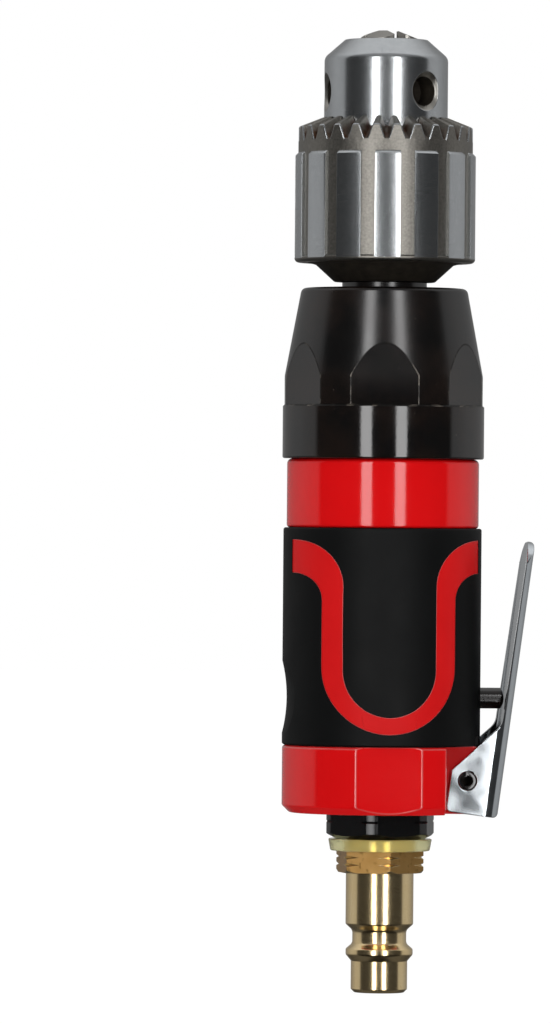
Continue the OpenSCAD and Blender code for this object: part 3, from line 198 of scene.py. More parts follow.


# The bevel faces take the material at the given index: a painted highlight on the cap and the inlays, worn
# oxide on the front housing
def crisp(piece, width, edge_highlight_and_wear, limit, is_flat):
    """Breaks sharp edges, and the outline of shallow milled flats, with one narrow bevel."""
    mesh = piece.data
    beside = [[] for edge in mesh.edges]
    for face in mesh.polygons:
        for corner in face.loop_indices:
            beside[mesh.loops[corner].edge_index].append((face.normal.copy(), is_flat(face)))
    broken = []
    for faces in beside:
        (one, one_flat), (other, other_flat) = faces[0], faces[-1]
        broken.append(one_flat != other_flat or one.angle(other, 0) > radians(limit))
    weight = mesh.attributes.new("bevel_weight_edge", "FLOAT", "EDGE")
    for edge, is_broken in enumerate(broken):
        weight.data[edge].value = is_broken
    applied(
        piece, "BEVEL", width=width * MM, segments=2, limit_method="WEIGHT", use_clamp_overlap=False,
        material=edge_highlight_and_wear,
    )


def linear(code):
    """An sRGB hex colour as linear light."""
    parts = [int(code[i:i + 2], 16) / 255 for i in (1, 3, 5)]
    return [p / 12.92 if p <= 0.04045 else ((p + 0.055) / 1.055) ** 2.4 for p in parts] + [1]


def add(finish, kind, inputs=(), **settings):
    """Adds one node to a finish, with its settings, its values, and its links from sockets or nodes."""
    node = finish.node_tree.nodes.new("ShaderNode" + kind)
    for key, value in settings.items():
        setattr(node, key, value)
    for key, value in dict(inputs).items():
        if isinstance(value, bpy.types.Node):
            value = next(socket for socket in value.outputs if socket.enabled)
        if isinstance(value, bpy.types.NodeSocket):
            finish.node_tree.links.new(value, node.inputs[key])
        else:
            node.inputs[key].default_value = value
    return node


def new_finish(name):
    """An empty finish, and the place on the piece that its patterns are drawn from."""
    finish = bpy.data.materials.new(name)
    finish.use_nodes = True
    finish.node_tree.nodes.clear()
    return finish, add(finish, "TexCoord").outputs["Object"]


def noise(finish, at, scale, detail=2):
    """A cloudy pattern, with its scale in clouds to the metre."""
    return add(finish, "TexNoise", {"Vector": at, "Scale": scale, "Detail": detail})


def toned(finish, share, *colours):
    """Mixes two colours, given as codes or as nodes, by the share of the second."""
    one, other = [linear(colour) if isinstance(colour, str) else colour for colour in colours]
    return add(finish, "Mix", {0: share, 6: one, 7: other}, data_type="RGBA")


def mapped(finish, value, low=0, high=1, at_low=0, at_high=1):
    """Carries the values from low to high over to another range."""
    return add(finish, "MapRange", {
        "Value": value, "From Min": low, "From Max": high, "To Min": at_low, "To Max": at_high,
    })


def bumped(finish, height, strength, distance):
    """Raises a pattern out of the surface, by a distance in metres."""
    return add(finish, "Bump", {"Strength": strength, "Distance": distance, "Height": height})


def surfaced(finish, values):
    """Ends a finish with its surface."""
    skin = add(finish, "BsdfPrincipled", values)
    add(finish, "OutputMaterial", {"Surface": skin})


def coated(piece, *finishes):
    """Gives a piece its finishes, the main one first."""
    for finish in finishes:
        piece.data.materials.append(finish)


def fit(piece, body, slot, *nodes):
    """Fixes a piece to the body that it moves with, in place of its plain solids."""
    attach(piece, body)
    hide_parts(*nodes)


# Red enamel, sprayed and stoved on aluminium: a glossy skin with a faint orange peel of about 1.5 mm,
# slightly deeper where it pooled
red_enamel, place = new_finish("red_enamel")
pooled = noise(red_enamel, place, 90, 3)
tint = toned(red_enamel, pooled, "#d4080c", "#de0c10")
peel = noise(red_enamel, place, 650)
gloss = mapped(red_enamel, pooled, 0.3, 0.7, 0.08, 0.12)
wavy = bumped(red_enamel, peel, 0.2, 0.00002)
surfaced(red_enamel, {"Base Color": tint, "Roughness": gloss, "Normal": wavy})

# Heights where the cap, the grip and the front housing meet it, and where the valve crosses it
z_grip = 43.2
z_spigot = 46.2
z_valve = 51.6
z_motor = 61.5
z_ring = 81.6
z_front = 93.8
z_thread = 101.8
socket_r = 9.45
core_r = 16.4
ring_r = 17
thread_r = 15.15
bore_r = 13.55
housing = turned("motor_housing", [
    (0, z_spigot), (socket_r, z_spigot), (socket_r, z_grip), (core_r, z_grip), (core_r, z_ring),
    (ring_r, z_ring, 0.55), (ring_r, z_front, 0.9), (thread_r, z_front), (thread_r, z_thread),
    (bore_r, z_thread), (bore_r, z_motor), (0, z_motor),
])

# The spent air runs down the side away from the lever, through a groove beside the motor and drilled ducts
exhaust_turn = 180
duct_r = 12.9
exhaust_in = 11
exhaust_out = 14.8
exhaust_arc = 140
groove_in = 13.35
groove_out = 14.975


def duct(radius, degrees, low, high):
    """An upright drill on the circle of the exhaust ducts."""
    turn = radians(degrees)
    x = duct_r * cos(turn)
    y = duct_r * sin(turn)
    return rod(radius, (x, y, low), (x, y, high))


def square(inner, outer, low, high):
    """The outline of a ring with a square section."""
    return [(inner, low), (outer, low), (outer, high), (inner, high)]


cut(
    housing,
    rod(5, (-20, 0, z_valve), (3, 0, z_valve)),  # room for the poppet and its spring
    rod(2.6, (2, 0, z_valve), (5, 0, z_valve)),  # way through the valve
    rod(4, (4.2, 0, z_valve), (20, 0, z_valve)),  # seat of the valve bush
    rod(1.7, (9.3, 0, z_valve), (9.3, 0, 63)),  # air to the motor
    rod(2.5, (-1.5, 0, 43), (-1.5, 0, z_valve)),  # air from the inlet
    sector("collector", square(exhaust_in, exhaust_out, 58.5, 62), exhaust_turn, exhaust_arc),
    sector("exhaust_groove", square(groove_in, groove_out, 61.3, 91.6), exhaust_turn, 130),
    *[duct(1.6, degrees, 42, 59.5) for degrees in (125, 145, 215, 235)],
)
smoothed(housing)
coated(housing, red_enamel)
fit(housing, "housing", "red_enamel", "motor_housing")

# Grip sleeve
# A sleeve of soft black rubber pushed over the housing, moulded with a finger scoop opposite the lever,
# a hole for the throttle pin, two notches for the lever's cheeks and two U-shaped recesses.
grip_r = 17.55
recess_r = 16.85


def arc(centre, radius, start, end, steps):
    """Points along an arc, with its angles in degrees."""
    turns = [radians(start + (end - start) * k / steps) for k in range(steps + 1)]
    return [(centre[0] + radius * cos(t), centre[1] + radius * sin(t)) for t in turns]


def drawn(name, points, push, shrink=1, towards=(0, 0, 0)):
    """An outline drawn point by point, filled, and pushed out to a solid that may taper to a point."""
    points = [Vector(p) * MM for p in points]
    bpy.ops.object.select_all(action="DESELECT")
    bpy.ops.mesh.primitive_plane_add(size=MM)
    piece = bpy.context.object
    piece.name = name
    piece.data.name = name
    edit(piece)
    bpy.ops.mesh.merge(type="CENTER")
    bpy.ops.transform.translate(value=points[0])
    for a, b in zip(points, points[1:] + points[:1]):
        bpy.ops.mesh.extrude_vertices_move(TRANSFORM_OT_translate={"value": b - a})
    bpy.ops.mesh.select_all(action="SELECT")
    bpy.ops.mesh.remove_doubles(threshold=0.0005 * MM)
    bpy.ops.mesh.edge_face_add()
    bpy.ops.mesh.extrude_region_move(TRANSFORM_OT_translate={"value": Vector(push) * MM})
    if shrink != 1:
        bpy.ops.transform.resize(value=(shrink, shrink, shrink), center_override=Vector(towards) * MM)
    bpy.ops.mesh.select_all(action="SELECT")
    bpy.ops.mesh.normals_make_consistent(inside=False)
    bpy.ops.object.mode_set(mode="OBJECT")
    return piece


def inlay_shape(name, inner_r, outer_r, side):
    """The U-shaped band with turned-out arms, as a curved plate on the front (-1) or the back (1)."""
    leg_in = 8.16
    leg_out = 11.83
    reach = 16.5
    bow_in = 56.55
    bow_out = 57.13
    arm_under = 68.93
    arm_over = 71.2
    half = arc((0, bow_out), leg_out, -90, 0, 18)
    half += arc((reach, arm_under), reach - leg_out, 180, 90, 12)
    half += arc((reach, arm_over), reach - leg_in, 90, 180, 14)
    half += arc((0, bow_in), leg_in, 0, -90, 18)
    outline = half + [(-x, z) for x, z in reversed(half[1:-1])]
    prism = drawn("prism", [(x, 30 * side, z) for x, z in outline], (0, -29 * side, 0))
    low = z_grip + 0.2
    high = z_ring - 0.2
    rows = 13
    skin_points = [(outer_r, low + (high - low) * k / rows) for k in range(rows + 1)]
    plate = turned(name, [(inner_r, low)] + skin_points + [(inner_r, high)], 192)
    cut(plate, prism, operation="INTERSECT")
    merged(plate, 0.1)
    return plate


def block(centre, size):
    """A square block about a point."""
    bpy.ops.object.select_all(action="DESELECT")
    bpy.ops.mesh.primitive_cube_add(size=1, location=[c * MM for c in centre], scale=[s * MM for s in size])
    bpy.ops.object.transform_apply()
    return bpy.context.object


# Moulded rubber: matt, blue-black, with pores of about 0.25 mm that are drawn coarser than life to show,
# and paler where hands have rubbed it
grip_rubber, place = new_finish("moulded_rubber")
rubbed = noise(grip_rubber, place, 120, 4)
shade = toned(grip_rubber, rubbed, "#060707", "#0b0c0d")
pores = noise(grip_rubber, place, 4000)
dull = mapped(grip_rubber, rubbed, 0.3, 0.7, 0.5, 0.6)
grain = bumped(grip_rubber, pores, 0.3, 0.00004)
surfaced(grip_rubber, {"Base Color": shade, "Roughness": dull, "Normal": grain, "Specular IOR Level": 0.16})

grip_bore = core_r + 0.02
rings = [(grip_r, 44.5 + 1.8 * k) for k in range(21)]
grip = turned("grip_sleeve", [
    (grip_bore, z_grip), (grip_r, z_grip, 0.4), *rings, (grip_r, z_ring, 0.4), (grip_bore, z_ring),
], 192)
scoop_r = 7.3
scoop_half = 8
scoop_bend = 26
scoop_floor = grip_r - 0.8
scoop = turned("scoop", [(20, z_valve + scoop_half), (20, z_valve - scoop_half)] + [
    (scoop_floor + scoop_bend - sqrt(scoop_bend ** 2 - z * z), z_valve + z)
    for z in range(-scoop_half, scoop_half + 1)
], 192)
cut(scoop, rod(scoop_r, (-30, 0, z_valve), (0, 0, z_valve), sides=96), operation="INTERSECT")
cut(
    grip, scoop, rod(2.1, (5, 0, z_valve), (30, 0, z_valve)),
    inlay_shape("front_recess", recess_r, 19, -1), inlay_shape("back_recess", recess_r, 19, 1),
    *[block((15, side * 6.15, 43.6), (20, 1.8, 2.8)) for side in (-1, 1)],
)
merged(grip, 0.04)
smoothed(grip, limit=40)
coated(grip, grip_rubber)
fit(grip, "housing", "grip_rubber", "grip_sleeve")

# Grip inlays
# Two bands of harder red plastic, moulded into the recesses of the grip, one on each side.
# They lie a hair below the rubber, and their broken edges carry a painted highlight, a paler red.

# Satin red plastic: evenly coloured through, with a fine mould grain of about 0.4 mm
satin_red, place = new_finish("satin_red_plastic")
cloud = noise(satin_red, place, 150, 3)
tint = toned(satin_red, cloud, "#cc0508", "#d8080c")
mould = noise(satin_red, place, 2500)
grain = bumped(satin_red, mould, 0.2, 0.00003)
sheen = mapped(satin_red, cloud, 0.3, 0.7, 0.48, 0.56)
surfaced(satin_red, {"Base Color": tint, "Roughness": sheen, "Normal": grain, "Specular IOR Level": 0.18})


def clouded(name, scale, detail, dark, light, surface):
    """A finish that drifts between two tones, with the other values of its surface as given."""
    finish, place = new_finish(name)
    cloud = noise(finish, place, scale, detail)
    tone = toned(finish, cloud, dark, light)
    surfaced(finish, {"Base Color": tone, **surface})
    return finish


# The same plastic painted paler on its bevelled edges: a painted highlight along the edges
painted_edge_highlight = clouded("satin_red_plastic_painted_highlight", 300, 3, "#c83a3c", "#d86664", {"Roughness": 0.4})

for name, side in (("grip_inlay_front", -1), ("grip_inlay_back", 1)):
    inlay = inlay_shape(name, recess_r + 0.02, grip_r - 0.1, side)
    coated(inlay, satin_red, painted_edge_highlight)
    # The bevel faces take the paler red, a painted highlight along the edges
    smoothed(inlay, bevel=0.12, segments=2, limit=40, edge_highlight_and_wear=1)
    fit(inlay, "housing", "satin_red", name)

# Throttle valve
# A poppet behind a brass bush, held shut by a spring, and a blackened push rod that the lever presses.
# Only the rod's domed end shows, between the grip and the lever.

# Blackened steel: oiled black oxide, glossy, with a brown cast and specks of about 0.5 mm where it has rubbed
# through. The cone of the front housing was left as turned, so it is duller than the ground band below it
black_oxide, place = new_finish("black_oxide_steel")
stain = add(black_oxide, "TexNoise", {"Vector": place, "Scale": 110, "Detail": 5, "Roughness": 0.6})
brown = mapped(black_oxide, stain, 0.4, 0.65)
tone = toned(black_oxide, brown, "#080707", "#170f0b")
specks = noise(black_oxide, place, 2200)
worn = mapped(black_oxide, specks, 0.74, 0.8, 0, 0.5)
tone = toned(black_oxide, worn, tone, "#6e675f")
oily = mapped(black_oxide, stain, 0.3, 0.7, 0.07, 0.13)
spot = add(black_oxide, "SeparateXYZ", {"Vector": place})
as_turned = mapped(black_oxide, spot.outputs["Z"], 0.103, 0.109, 0, 0.12)
oily = add(black_oxide, "Math", {0: oily, 1: as_turned}, operation="ADD")
pits = bumped(black_oxide, specks, 0.12, 0.00003)
surfaced(black_oxide, {"Base Color": tone, "Roughness": oily, "Normal": pits, "IOR": 1.62})


def settled(piece, turn=(0, 0, 0), place=(0, 0, 0)):
    """Turns a piece, moves it to its place, and puts both into its mesh."""
    piece.rotation_euler = turn
    piece.location = [c * MM for c in place]
    only(piece)
    bpy.ops.object.transform_apply()


rod_r = 1.85
rod_start = 3.6
rod_end = 21.8
throttle_pin = turned("throttle_pin", [
    (0, rod_start), (rod_r - 0.25, rod_start), (rod_r, rod_start + 0.25), (rod_r, rod_end - 0.64),
    (1.7, rod_end - 0.5), (1.2, rod_end - 0.22), (0.6, rod_end - 0.06), (0, rod_end),
], 64)
settled(throttle_pin, (0, pi / 2, 0), (0, 0, z_valve))
smoothed(throttle_pin)
coated(throttle_pin, black_oxide)
fit(throttle_pin, "valve", "black_oxide", "throttle_pin")


def dress(finish, *names):
    """Gives hidden parts, whose plain solids are right as they are, their real finish."""
    for name in names:
        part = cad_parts[name]
        if not part.material_slots:
            part.data.materials.append(finish)
        for place_for_finish in part.material_slots:
            place_for_finish.material = finish


# Turned brass: pale gold, with tool marks of about 0.3 mm round the axis, and scuffs of 0.03 mm that only
# soften its highlights
brass, place = new_finish("turned_brass")
marks_at = add(brass, "Mapping", {"Vector": place, "Scale": (60, 60, 3200)})
marks = noise(brass, marks_at, 1, 3)
cloud = noise(brass, place, 260, 4)
gold = toned(brass, cloud, "#eccf98", "#f4deb0")
turning = bumped(brass, marks, 0.12, 0.00001)
scuffs = noise(brass, place, 30000, 0)
polish = mapped(brass, scuffs, 0.35, 0.65, 0.1, 0.28)
surfaced(brass, {"Base Color": gold, "Metallic": 1, "Roughness": polish, "Normal": turning})

# Machined steel, grey and a little oily, with tool marks of about 0.4 mm round the axis
dull_steel, place = new_finish("machined_steel")
marks_at = add(dull_steel, "Mapping", {"Vector": place, "Scale": (80, 80, 2600)})
marks = noise(dull_steel, marks_at, 1, 3)
oil = noise(dull_steel, place, 200, 4)
grey = toned(dull_steel, oil, "#9c9993", "#b4b1ab")
turning = bumped(dull_steel, marks, 0.25, 0.00004)
surfaced(dull_steel, {"Base Color": grey, "Metallic": 1, "Roughness": 0.38, "Normal": turning})

# Nitrile rubber of the seals, black and slightly greasy
seal_rubber = clouded("nitrile_rubber", 700, 3, "#0d0d0d", "#1a1a19", {"Roughness": 0.5})

dress(brass, "valve_bush", "valve_poppet")
dress(seal_rubber, "pin_seal", "poppet_seal")
dress(dull_steel, "valve_plug")

# The spring is wound from round wire, and the poppet presses it together against the plug as it comes back
wire_r = 0.45
coil_r = 3
coils = 5
coils_start = -8.36
coils_end = -1.06
bpy.ops.object.select_all(action="DESELECT")
bpy.ops.mesh.primitive_circle_add(vertices=12, radius=wire_r * MM)
spring = bpy.context.object
spring.name = "valve_spring"
edit(spring)
bpy.ops.transform.translate(value=(0, coil_r * MM, 0))
bpy.ops.object.mode_set(mode="OBJECT")
applied(
    spring, "SCREW", axis="X", angle=2 * pi, screw_offset=(coils_end - coils_start) / coils * MM,
    iterations=coils, steps=24, render_steps=24,
)
settled(spring, place=(coils_start, 0, z_valve))
edit(spring)
bpy.ops.mesh.fill_holes(sides=0)
bpy.ops.mesh.normals_make_consistent(inside=False)
bpy.ops.object.mode_set(mode="OBJECT")
smoothed(spring, limit=40)
coated(spring, dull_steel)
fit(spring, "housing", "dull_steel", "valve_spring")
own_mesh(spring)

# Rear cap
# Aluminium like the housing and enamelled to match, screwed on behind the grip by its spigot.
# It has two spanner flats, the lug that carries the lever, and seven exhaust outlets on the other side.

# Enamel painted paler on the bevelled sharp edges: a painted highlight along them
enamel_painted_highlight = clouded(
    "red_enamel_painted_highlight", 400, 3, "#cf2224", "#da5654", {"Roughness": 0.2, "Coat Weight": 0.5}
)

z_cap = 31.2
cap_r = 17.5
seat_r = 7.5
seat_top = 41.4
inlet_r = 4.2
spigot_r = socket_r - 0.02
half_flats = 16.5
lug_root = 10.3
lug_half = 5.45
cap = turned("rear_cap", [
    (seat_r, z_cap), (cap_r - 1.3, z_cap, 0.6), (cap_r, z_cap + 1.3, 0.6), (cap_r, z_grip - 0.4),
    (cap_r - 0.4, z_grip), (spigot_r, z_grip), (spigot_r, z_spigot), (inlet_r, z_spigot), (inlet_r, seat_top),
    (seat_r, seat_top),
], 160)
pivot = Vector((14.8, 0, 37.1))
for side in (-1, 1):
    slice_off(cap, (0, side * half_flats, 0), (0, side, 0))
    cut(cap, block((lug_root + 10, side * (lug_half + 10), 37), (20, 20, 20)))
sideways = Vector((0, 30, 0))
cut(
    cap, rod(1.67, pivot - sideways, pivot + sideways),
    sector("exhaust_chamber", square(exhaust_in, exhaust_out, 36.2, 45), exhaust_turn, exhaust_arc),
    *[duct(1.3, 120 + 20 * i, 30, 37) for i in range(7)],
)
coated(cap, red_enamel, enamel_painted_highlight)
merged(cap, 0.05)
# The bevels of its sharp edges and of the flats' outlines take the paler enamel, a painted highlight
crisp(cap, width=0.16, edge_highlight_and_wear=1, limit=28, is_flat=lambda face: (
    abs(face.normal.y) > 0.9999 and abs(face.center.y) > (half_flats - 0.5) * MM
))
smoothed(cap, limit=28)
fit(cap, "housing", "red_enamel", "rear_cap")

# Felt of the silencer in the exhaust chamber: pressed grey wool, with fibres of about 0.5 mm
felt, place = new_finish("pressed_felt")
fibres = add(felt, "TexNoise", {"Vector": place, "Scale": 2000, "Detail": 5, "Distortion": 1.5})
wool = toned(felt, fibres, "#6c675c", "#a39d8f")
nap = bumped(felt, fibres, 0.8, 0.0002)
surfaced(felt, {"Base Color": wool, "Roughness": 0.95, "Sheen Weight": 0.3, "Normal": nap})
dress(felt, "exhaust_silencer")

# Throttle lever
# Steel sheet of 1.2 mm, bent to a channel whose cheeks straddle the cap's lug, then chromium plated.
# It leans away from the grip and turns on a slotted spring pin that is pressed through the lug.
lever_w = 13.5
lever_face = 6.39
lever_sheet = 1.2
lever_inner = lever_face - lever_sheet
lever_tip = 43.4
lever_foot = -5.85
lever_bend = 2.8
lever_lean = radians(7.5)


def channel(name, face, half, bend):
    """A long block with its two outer edges bent round, as wide and as deep as one side of the sheet."""
    piece = block((face - 10, 0, 20), (20, 2 * half, 80))
    piece.name = name
    bpy.ops.object.mode_set(mode="EDIT")
    bpy.ops.mesh.select_all(action="DESELECT")
    bpy.ops.object.mode_set(mode="OBJECT")
    for edge in piece.data.edges:
        ends = [piece.data.vertices[v].co for v in edge.vertices]
        edge.select = all(v.x > 0 for v in ends) and abs(ends[0].z - ends[1].z) > 0.01
    bpy.ops.object.mode_set(mode="EDIT")
    bpy.ops.mesh.select_mode(type="EDGE")
    bpy.ops.mesh.bevel(offset=bend * MM, segments=10, affect="EDGES")
    bpy.ops.mesh.select_mode(type="VERT")
    bpy.ops.object.mode_set(mode="OBJECT")
    return piece


lever = channel("throttle_lever", lever_face, lever_w / 2, lever_bend)
cut(lever, channel("hollow", lever_inner, lever_w / 2 - lever_sheet, lever_bend - lever_sheet))
cheek = -3.05
outside = lever_face + 0.01
side_view = rounded([
    (cheek, lever_foot, 1), (cheek, 1.6, 1), (lever_inner - 0.4, 10.6, 3), (lever_inner, lever_tip, 0.45),
    (outside, lever_tip, 0.6), (outside, lever_foot, 1),
], 4)
cut(lever, drawn("side_view", [(p.x, -20, p.y) for p in side_view], (0, 40, 0)), operation="INTERSECT")
edge = lever_w / 2 + 0.01
tip_r = 6.5
front_view = rounded([
    (-20, -20), (20, -20), (20, 30), (edge, 30), (edge, lever_tip, tip_r), (-edge, lever_tip, tip_r),
    (-edge, 30), (-20, 30),
], 12)
cut(lever, drawn("front_view", [(-20, p.x, p.y) for p in front_view], (40, 0, 0)), operation="INTERSECT")
cut(lever, rod(1.7, (0, -20, 0), (0, 20, 0)))
merged(lever, 0.06)
settled(lever, (0, lever_lean, 0), pivot)
smoothed(lever, bevel=0.15, limit=35)

# Chromium plate over bent sheet: a near mirror, faintly blue, with waves of about 8 mm from the bending and
# the polishing, and a thin uneven haze
chrome, place = new_finish("chromium_plate")
waves = noise(chrome, place, 120, 0)
film = noise(chrome, place, 320, 1)
silver = toned(chrome, film, "#c3c9ce", "#d9dee2")
haze = mapped(chrome, film, 0.35, 0.7, 0.1, 0.18)
ripple = bumped(chrome, waves, 1, 0.00005)
surfaced(chrome, {"Base Color": silver, "Metallic": 1, "Roughness": haze, "Normal": ripple})
coated(lever, chrome)
fit(lever, "lever", "chrome", "throttle_lever")

pin_r = 1.65
pin_bore = 0.95
pin_half = 6.85
grease_half = 3
lever_pin = turned("lever_pin", [
    (0, -grease_half), (pin_bore, -grease_half), (pin_bore, -pin_half), (pin_r, -pin_half, 0.25),
    (pin_r, pin_half, 0.25), (pin_bore, pin_half), (pin_bore, grease_half), (0, grease_half),
], 48)
cut(lever_pin, block((0, 2, 0), (0.5, 3, 20)))
settled(lever_pin, (pi / 2, 0, 0), pivot)
smoothed(lever_pin)
# Old grease, matt and nearly black, lines its bore and fills the middle of it. The chuck uses the same dark
# finish as painted shade and painted reflection
grease_and_painted_shade = clouded(
    "greasy_steel_and_painted_shade", 800, 4, "#141210", "#3a342c",
    {"Roughness": 0.6, "Metallic": 0.3, "Specular IOR Level": 0.2},
)
coated(lever_pin, black_oxide, grease_and_painted_shade)
for face in lever_pin.data.polygons:
    from_axis = face.center / MM - pivot
    is_inside = abs(from_axis.y) < pin_half - 0.35
    from_axis.y = 0
    if is_inside and from_axis.length < pin_bore + 0.15:
        face.material_index = 1
fit(lever_pin, "housing", "black_oxide", "lever_pin")

# Inlet bush
# A hollow hexagon screw of black anodised aluminium that holds a perforated steel screen in the cap.
# A line is turned round its hexagon, and its lower corners are chamfered.
z_bush = 26.6


def heading(degrees):
    """The level direction at an angle about the tool's axis."""
    turn = radians(degrees)
    return Vector((cos(turn), sin(turn), 0))


def hexed(piece, across, corner):
    """Mills six flats on a turned piece, with one of the corners at the given angle."""
    for i in range(6):
        out = heading(corner + 30 + 60 * i)
        slice_off(piece, out * across / 2, out)


# Black anodising: a dense satin dye over fine milling of about 0.4 mm, faintly blue
anodised, place = new_finish("black_anodised_aluminium")
milling_at = add(anodised, "Mapping", {"Vector": place, "Scale": (150, 150, 2400)})
milling = noise(anodised, milling_at, 1, 3)
dye = toned(anodised, milling, "#040506", "#090a0c")
lines = bumped(anodised, milling, 0.2, 0.00003)
surfaced(anodised, {"Base Color": dye, "Roughness": 0.2, "IOR": 1.5, "Normal": lines})

bush_bore = 6.4
bush_r = seat_r - 0.02
bush_top = 40.6
bush_floor = 36.2
corner_r = 9.85
z_line = 29.73
bush = turned("inlet_bush", [
    (bush_bore, z_bush), (7.8, z_bush), (corner_r, z_bush + 1.02), (corner_r, z_line - 0.18), (9.5, z_line),
    (corner_r, z_line + 0.18), (corner_r, z_cap), (bush_r, z_cap), (bush_r, bush_top), (inlet_r, bush_top),
    (inlet_r, bush_floor), (bush_bore, bush_floor),
])
hexed(bush, across=18, corner=-104.5)
smoothed(bush, bevel=0.08, segments=2, limit=20)
coated(bush, anodised)
fit(bush, "housing", "black_oxide", "inlet_bush")
dress(dull_steel, "inlet_screen")

# Sealing washer
# A soft ring of unfilled polyamide, stamped from sheet.
# The plug's hexagon squeezes it against the inlet bush as the plug is screwed in.

# Polyamide: yellow-green, cloudy, and clear enough for the brass to glow through it
polyamide = clouded(
    "cloudy_polyamide", 500, 3, "#d8d6a2", "#e8e4b4",
    {"Roughness": 0.22, "Transmission Weight": 0.85, "IOR": 1.45},
)

z_hexagon = 24.5
washer_bore = 6.5
washer = turned("sealing_washer", [
    (washer_bore, z_hexagon), (8.8, z_hexagon, 0.3), (9.15, z_bush - 0.15), (9.05, z_bush),
    (washer_bore, z_bush),
])
smoothed(washer)
coated(washer, polyamide)
fit(washer, "housing", "washer_plastic", "sealing_washer")

# Air plug
# A hose nipple turned from hexagon brass, with a bead that a coupling locks behind.
# Two grooves are turned across the hexagon, and the tail screws into the inlet bush.
plug_bore = 3.6
plug_r = 5
bead_r = 5.95
waist_r = 4.78
shank_r = 6
hexagon_r = 8.2
groove_r = 7.32
tail_r = 6.38
plug_foot = -0.6
z_shank = 20.6
grooves = [(hexagon_r if step else groove_r, z + 0.36 * step) for z in (22.08, 23.41) for step in (-1, 0, 1)]
plug = turned("air_plug", [
    (plug_bore, plug_foot), (plug_r - 0.6, plug_foot), (plug_r, 0), (plug_r, 5), (bead_r, 6.1, 0.6),
    (bead_r, 7.1, 0.5), (waist_r, 8.1, 1), (waist_r, 10.4, 1.1), (shank_r, 11.5, 0.5), (shank_r, z_shank),
    (7.4, z_shank), (hexagon_r, 21.2), *grooves, (hexagon_r, z_hexagon - 0.25), (7.9, z_hexagon),
    (tail_r, z_hexagon), (tail_r, 35.6), (plug_bore, 35.6),
])
hexed(plug, across=14, corner=-82)
smoothed(plug, bevel=0.06, segments=2, limit=35)

# Sawn faces of the hexagon: the same brass, browner, with tarnish and pits of about 1 mm
tarnished, place = new_finish("tarnished_brass")
spots = noise(tarnished, place, 900, 5)
cloud = noise(tarnished, place, 300, 3)
gold = toned(tarnished, cloud, "#ac8044", "#cfa668")
pitted = mapped(tarnished, spots, 0.58, 0.72, 0, 0.7)
gold = toned(tarnished, pitted, gold, "#5a3f1c")
pits = bumped(tarnished, spots, 0.3, 0.00005)
surfaced(tarnished, {"Base Color": gold, "Metallic": 1, "Roughness": 0.34, "Normal": pits})
coated(plug, brass, tarnished)
for face in plug.data.polygons:
    middle = face.center / MM
    on_hexagon = z_shank + 0.1 < middle.z < z_hexagon + 0.1 and middle.to_2d().length > shank_r + 0.5
    if on_hexagon and abs(face.normal.z) < 0.2:
        face.material_index = 1
fit(plug, "housing", "brass", "air_plug")

# Vane motor and gears
# Inside the housing: a slotted rotor with five blades in an offset cylinder between two end plates,
# and a planetary stage whose carrier is the spindle. All of it is as the solids give it.

# Ground and hardened steel: bright, with grinding lines of about 0.2 mm round the axis, and scuffs of 0.03 mm
# that soften its highlights
bright_steel, place = new_finish("ground_steel")
grinding_at = add(bright_steel, "Mapping", {"Vector": place, "Scale": (40, 40, 5200)})
grinding = noise(bright_steel, grinding_at, 1, 4)
film = noise(bright_steel, place, 900, 5)
silver = toned(bright_steel, film, "#aeb2b5", "#c2c5c7")
brushed = bumped(bright_steel, grinding, 0.15, 0.00001)
scuffs = noise(bright_steel, place, 30000, 0)
bright = mapped(bright_steel, scuffs, 0.35, 0.65, 0.12, 0.29)
surfaced(bright_steel, {"Base Color": silver, "Metallic": 1, "Roughness": bright, "Normal": brushed})

# Fabric-filled resin of the blades, with a weave of about 0.4 mm
vane_resin, place = new_finish("fabric_filled_resin")
weave = add(vane_resin, "TexVoronoi", {"Vector": place, "Scale": 2500})
amber = toned(vane_resin, weave, "#5b3c20", "#7d5630")
surfaced(vane_resin, {"Base Color": amber, "Roughness": 0.45})

# Fibre paper of the gasket
fibre_paper = clouded("fibre_paper", 1500, 5, "#555146", "#6d6858", {"Roughness": 0.85})

dress(
    dull_steel, "rear_end_plate", "front_end_plate", "motor_cylinder", "rotor", "gear_spacer", "ring_gear",
    "spindle", "bearing_spacer",
)
dress(bright_steel, "cylinder_dowels", "planet_pins", *[f"planet_gear_{i}" for i in (1, 2, 3)])
for bearing in ("rotor_rear", "rotor_front", "spindle_rear", "spindle_front"):
    dress(bright_steel, f"{bearing}_bearing_outer", f"{bearing}_bearing_inner")
    dress(chrome, f"{bearing}_bearing_balls")
dress(vane_resin, *[f"vane_{i}" for i in range(1, 6)])
dress(fibre_paper, "rear_gasket")

# Front housing
# Blackened steel, screwed over the motor housing's spigot, with a plain band, six spanner flats and a cone.
# Inside are the seats of the ring gear and of the two spindle bearings.

# The same blackening where edges have rubbed through to grey steel
worn_oxide, place = new_finish("black_oxide_rubbed")
rub = noise(worn_oxide, place, 500, 4)
bare = mapped(worn_oxide, rub, 0.52, 0.72)
tone = toned(worn_oxide, bare, "#141210", "#6e675e")
surfaced(worn_oxide, {"Base Color": tone, "Roughness": 0.25, "Metallic": 0.6})

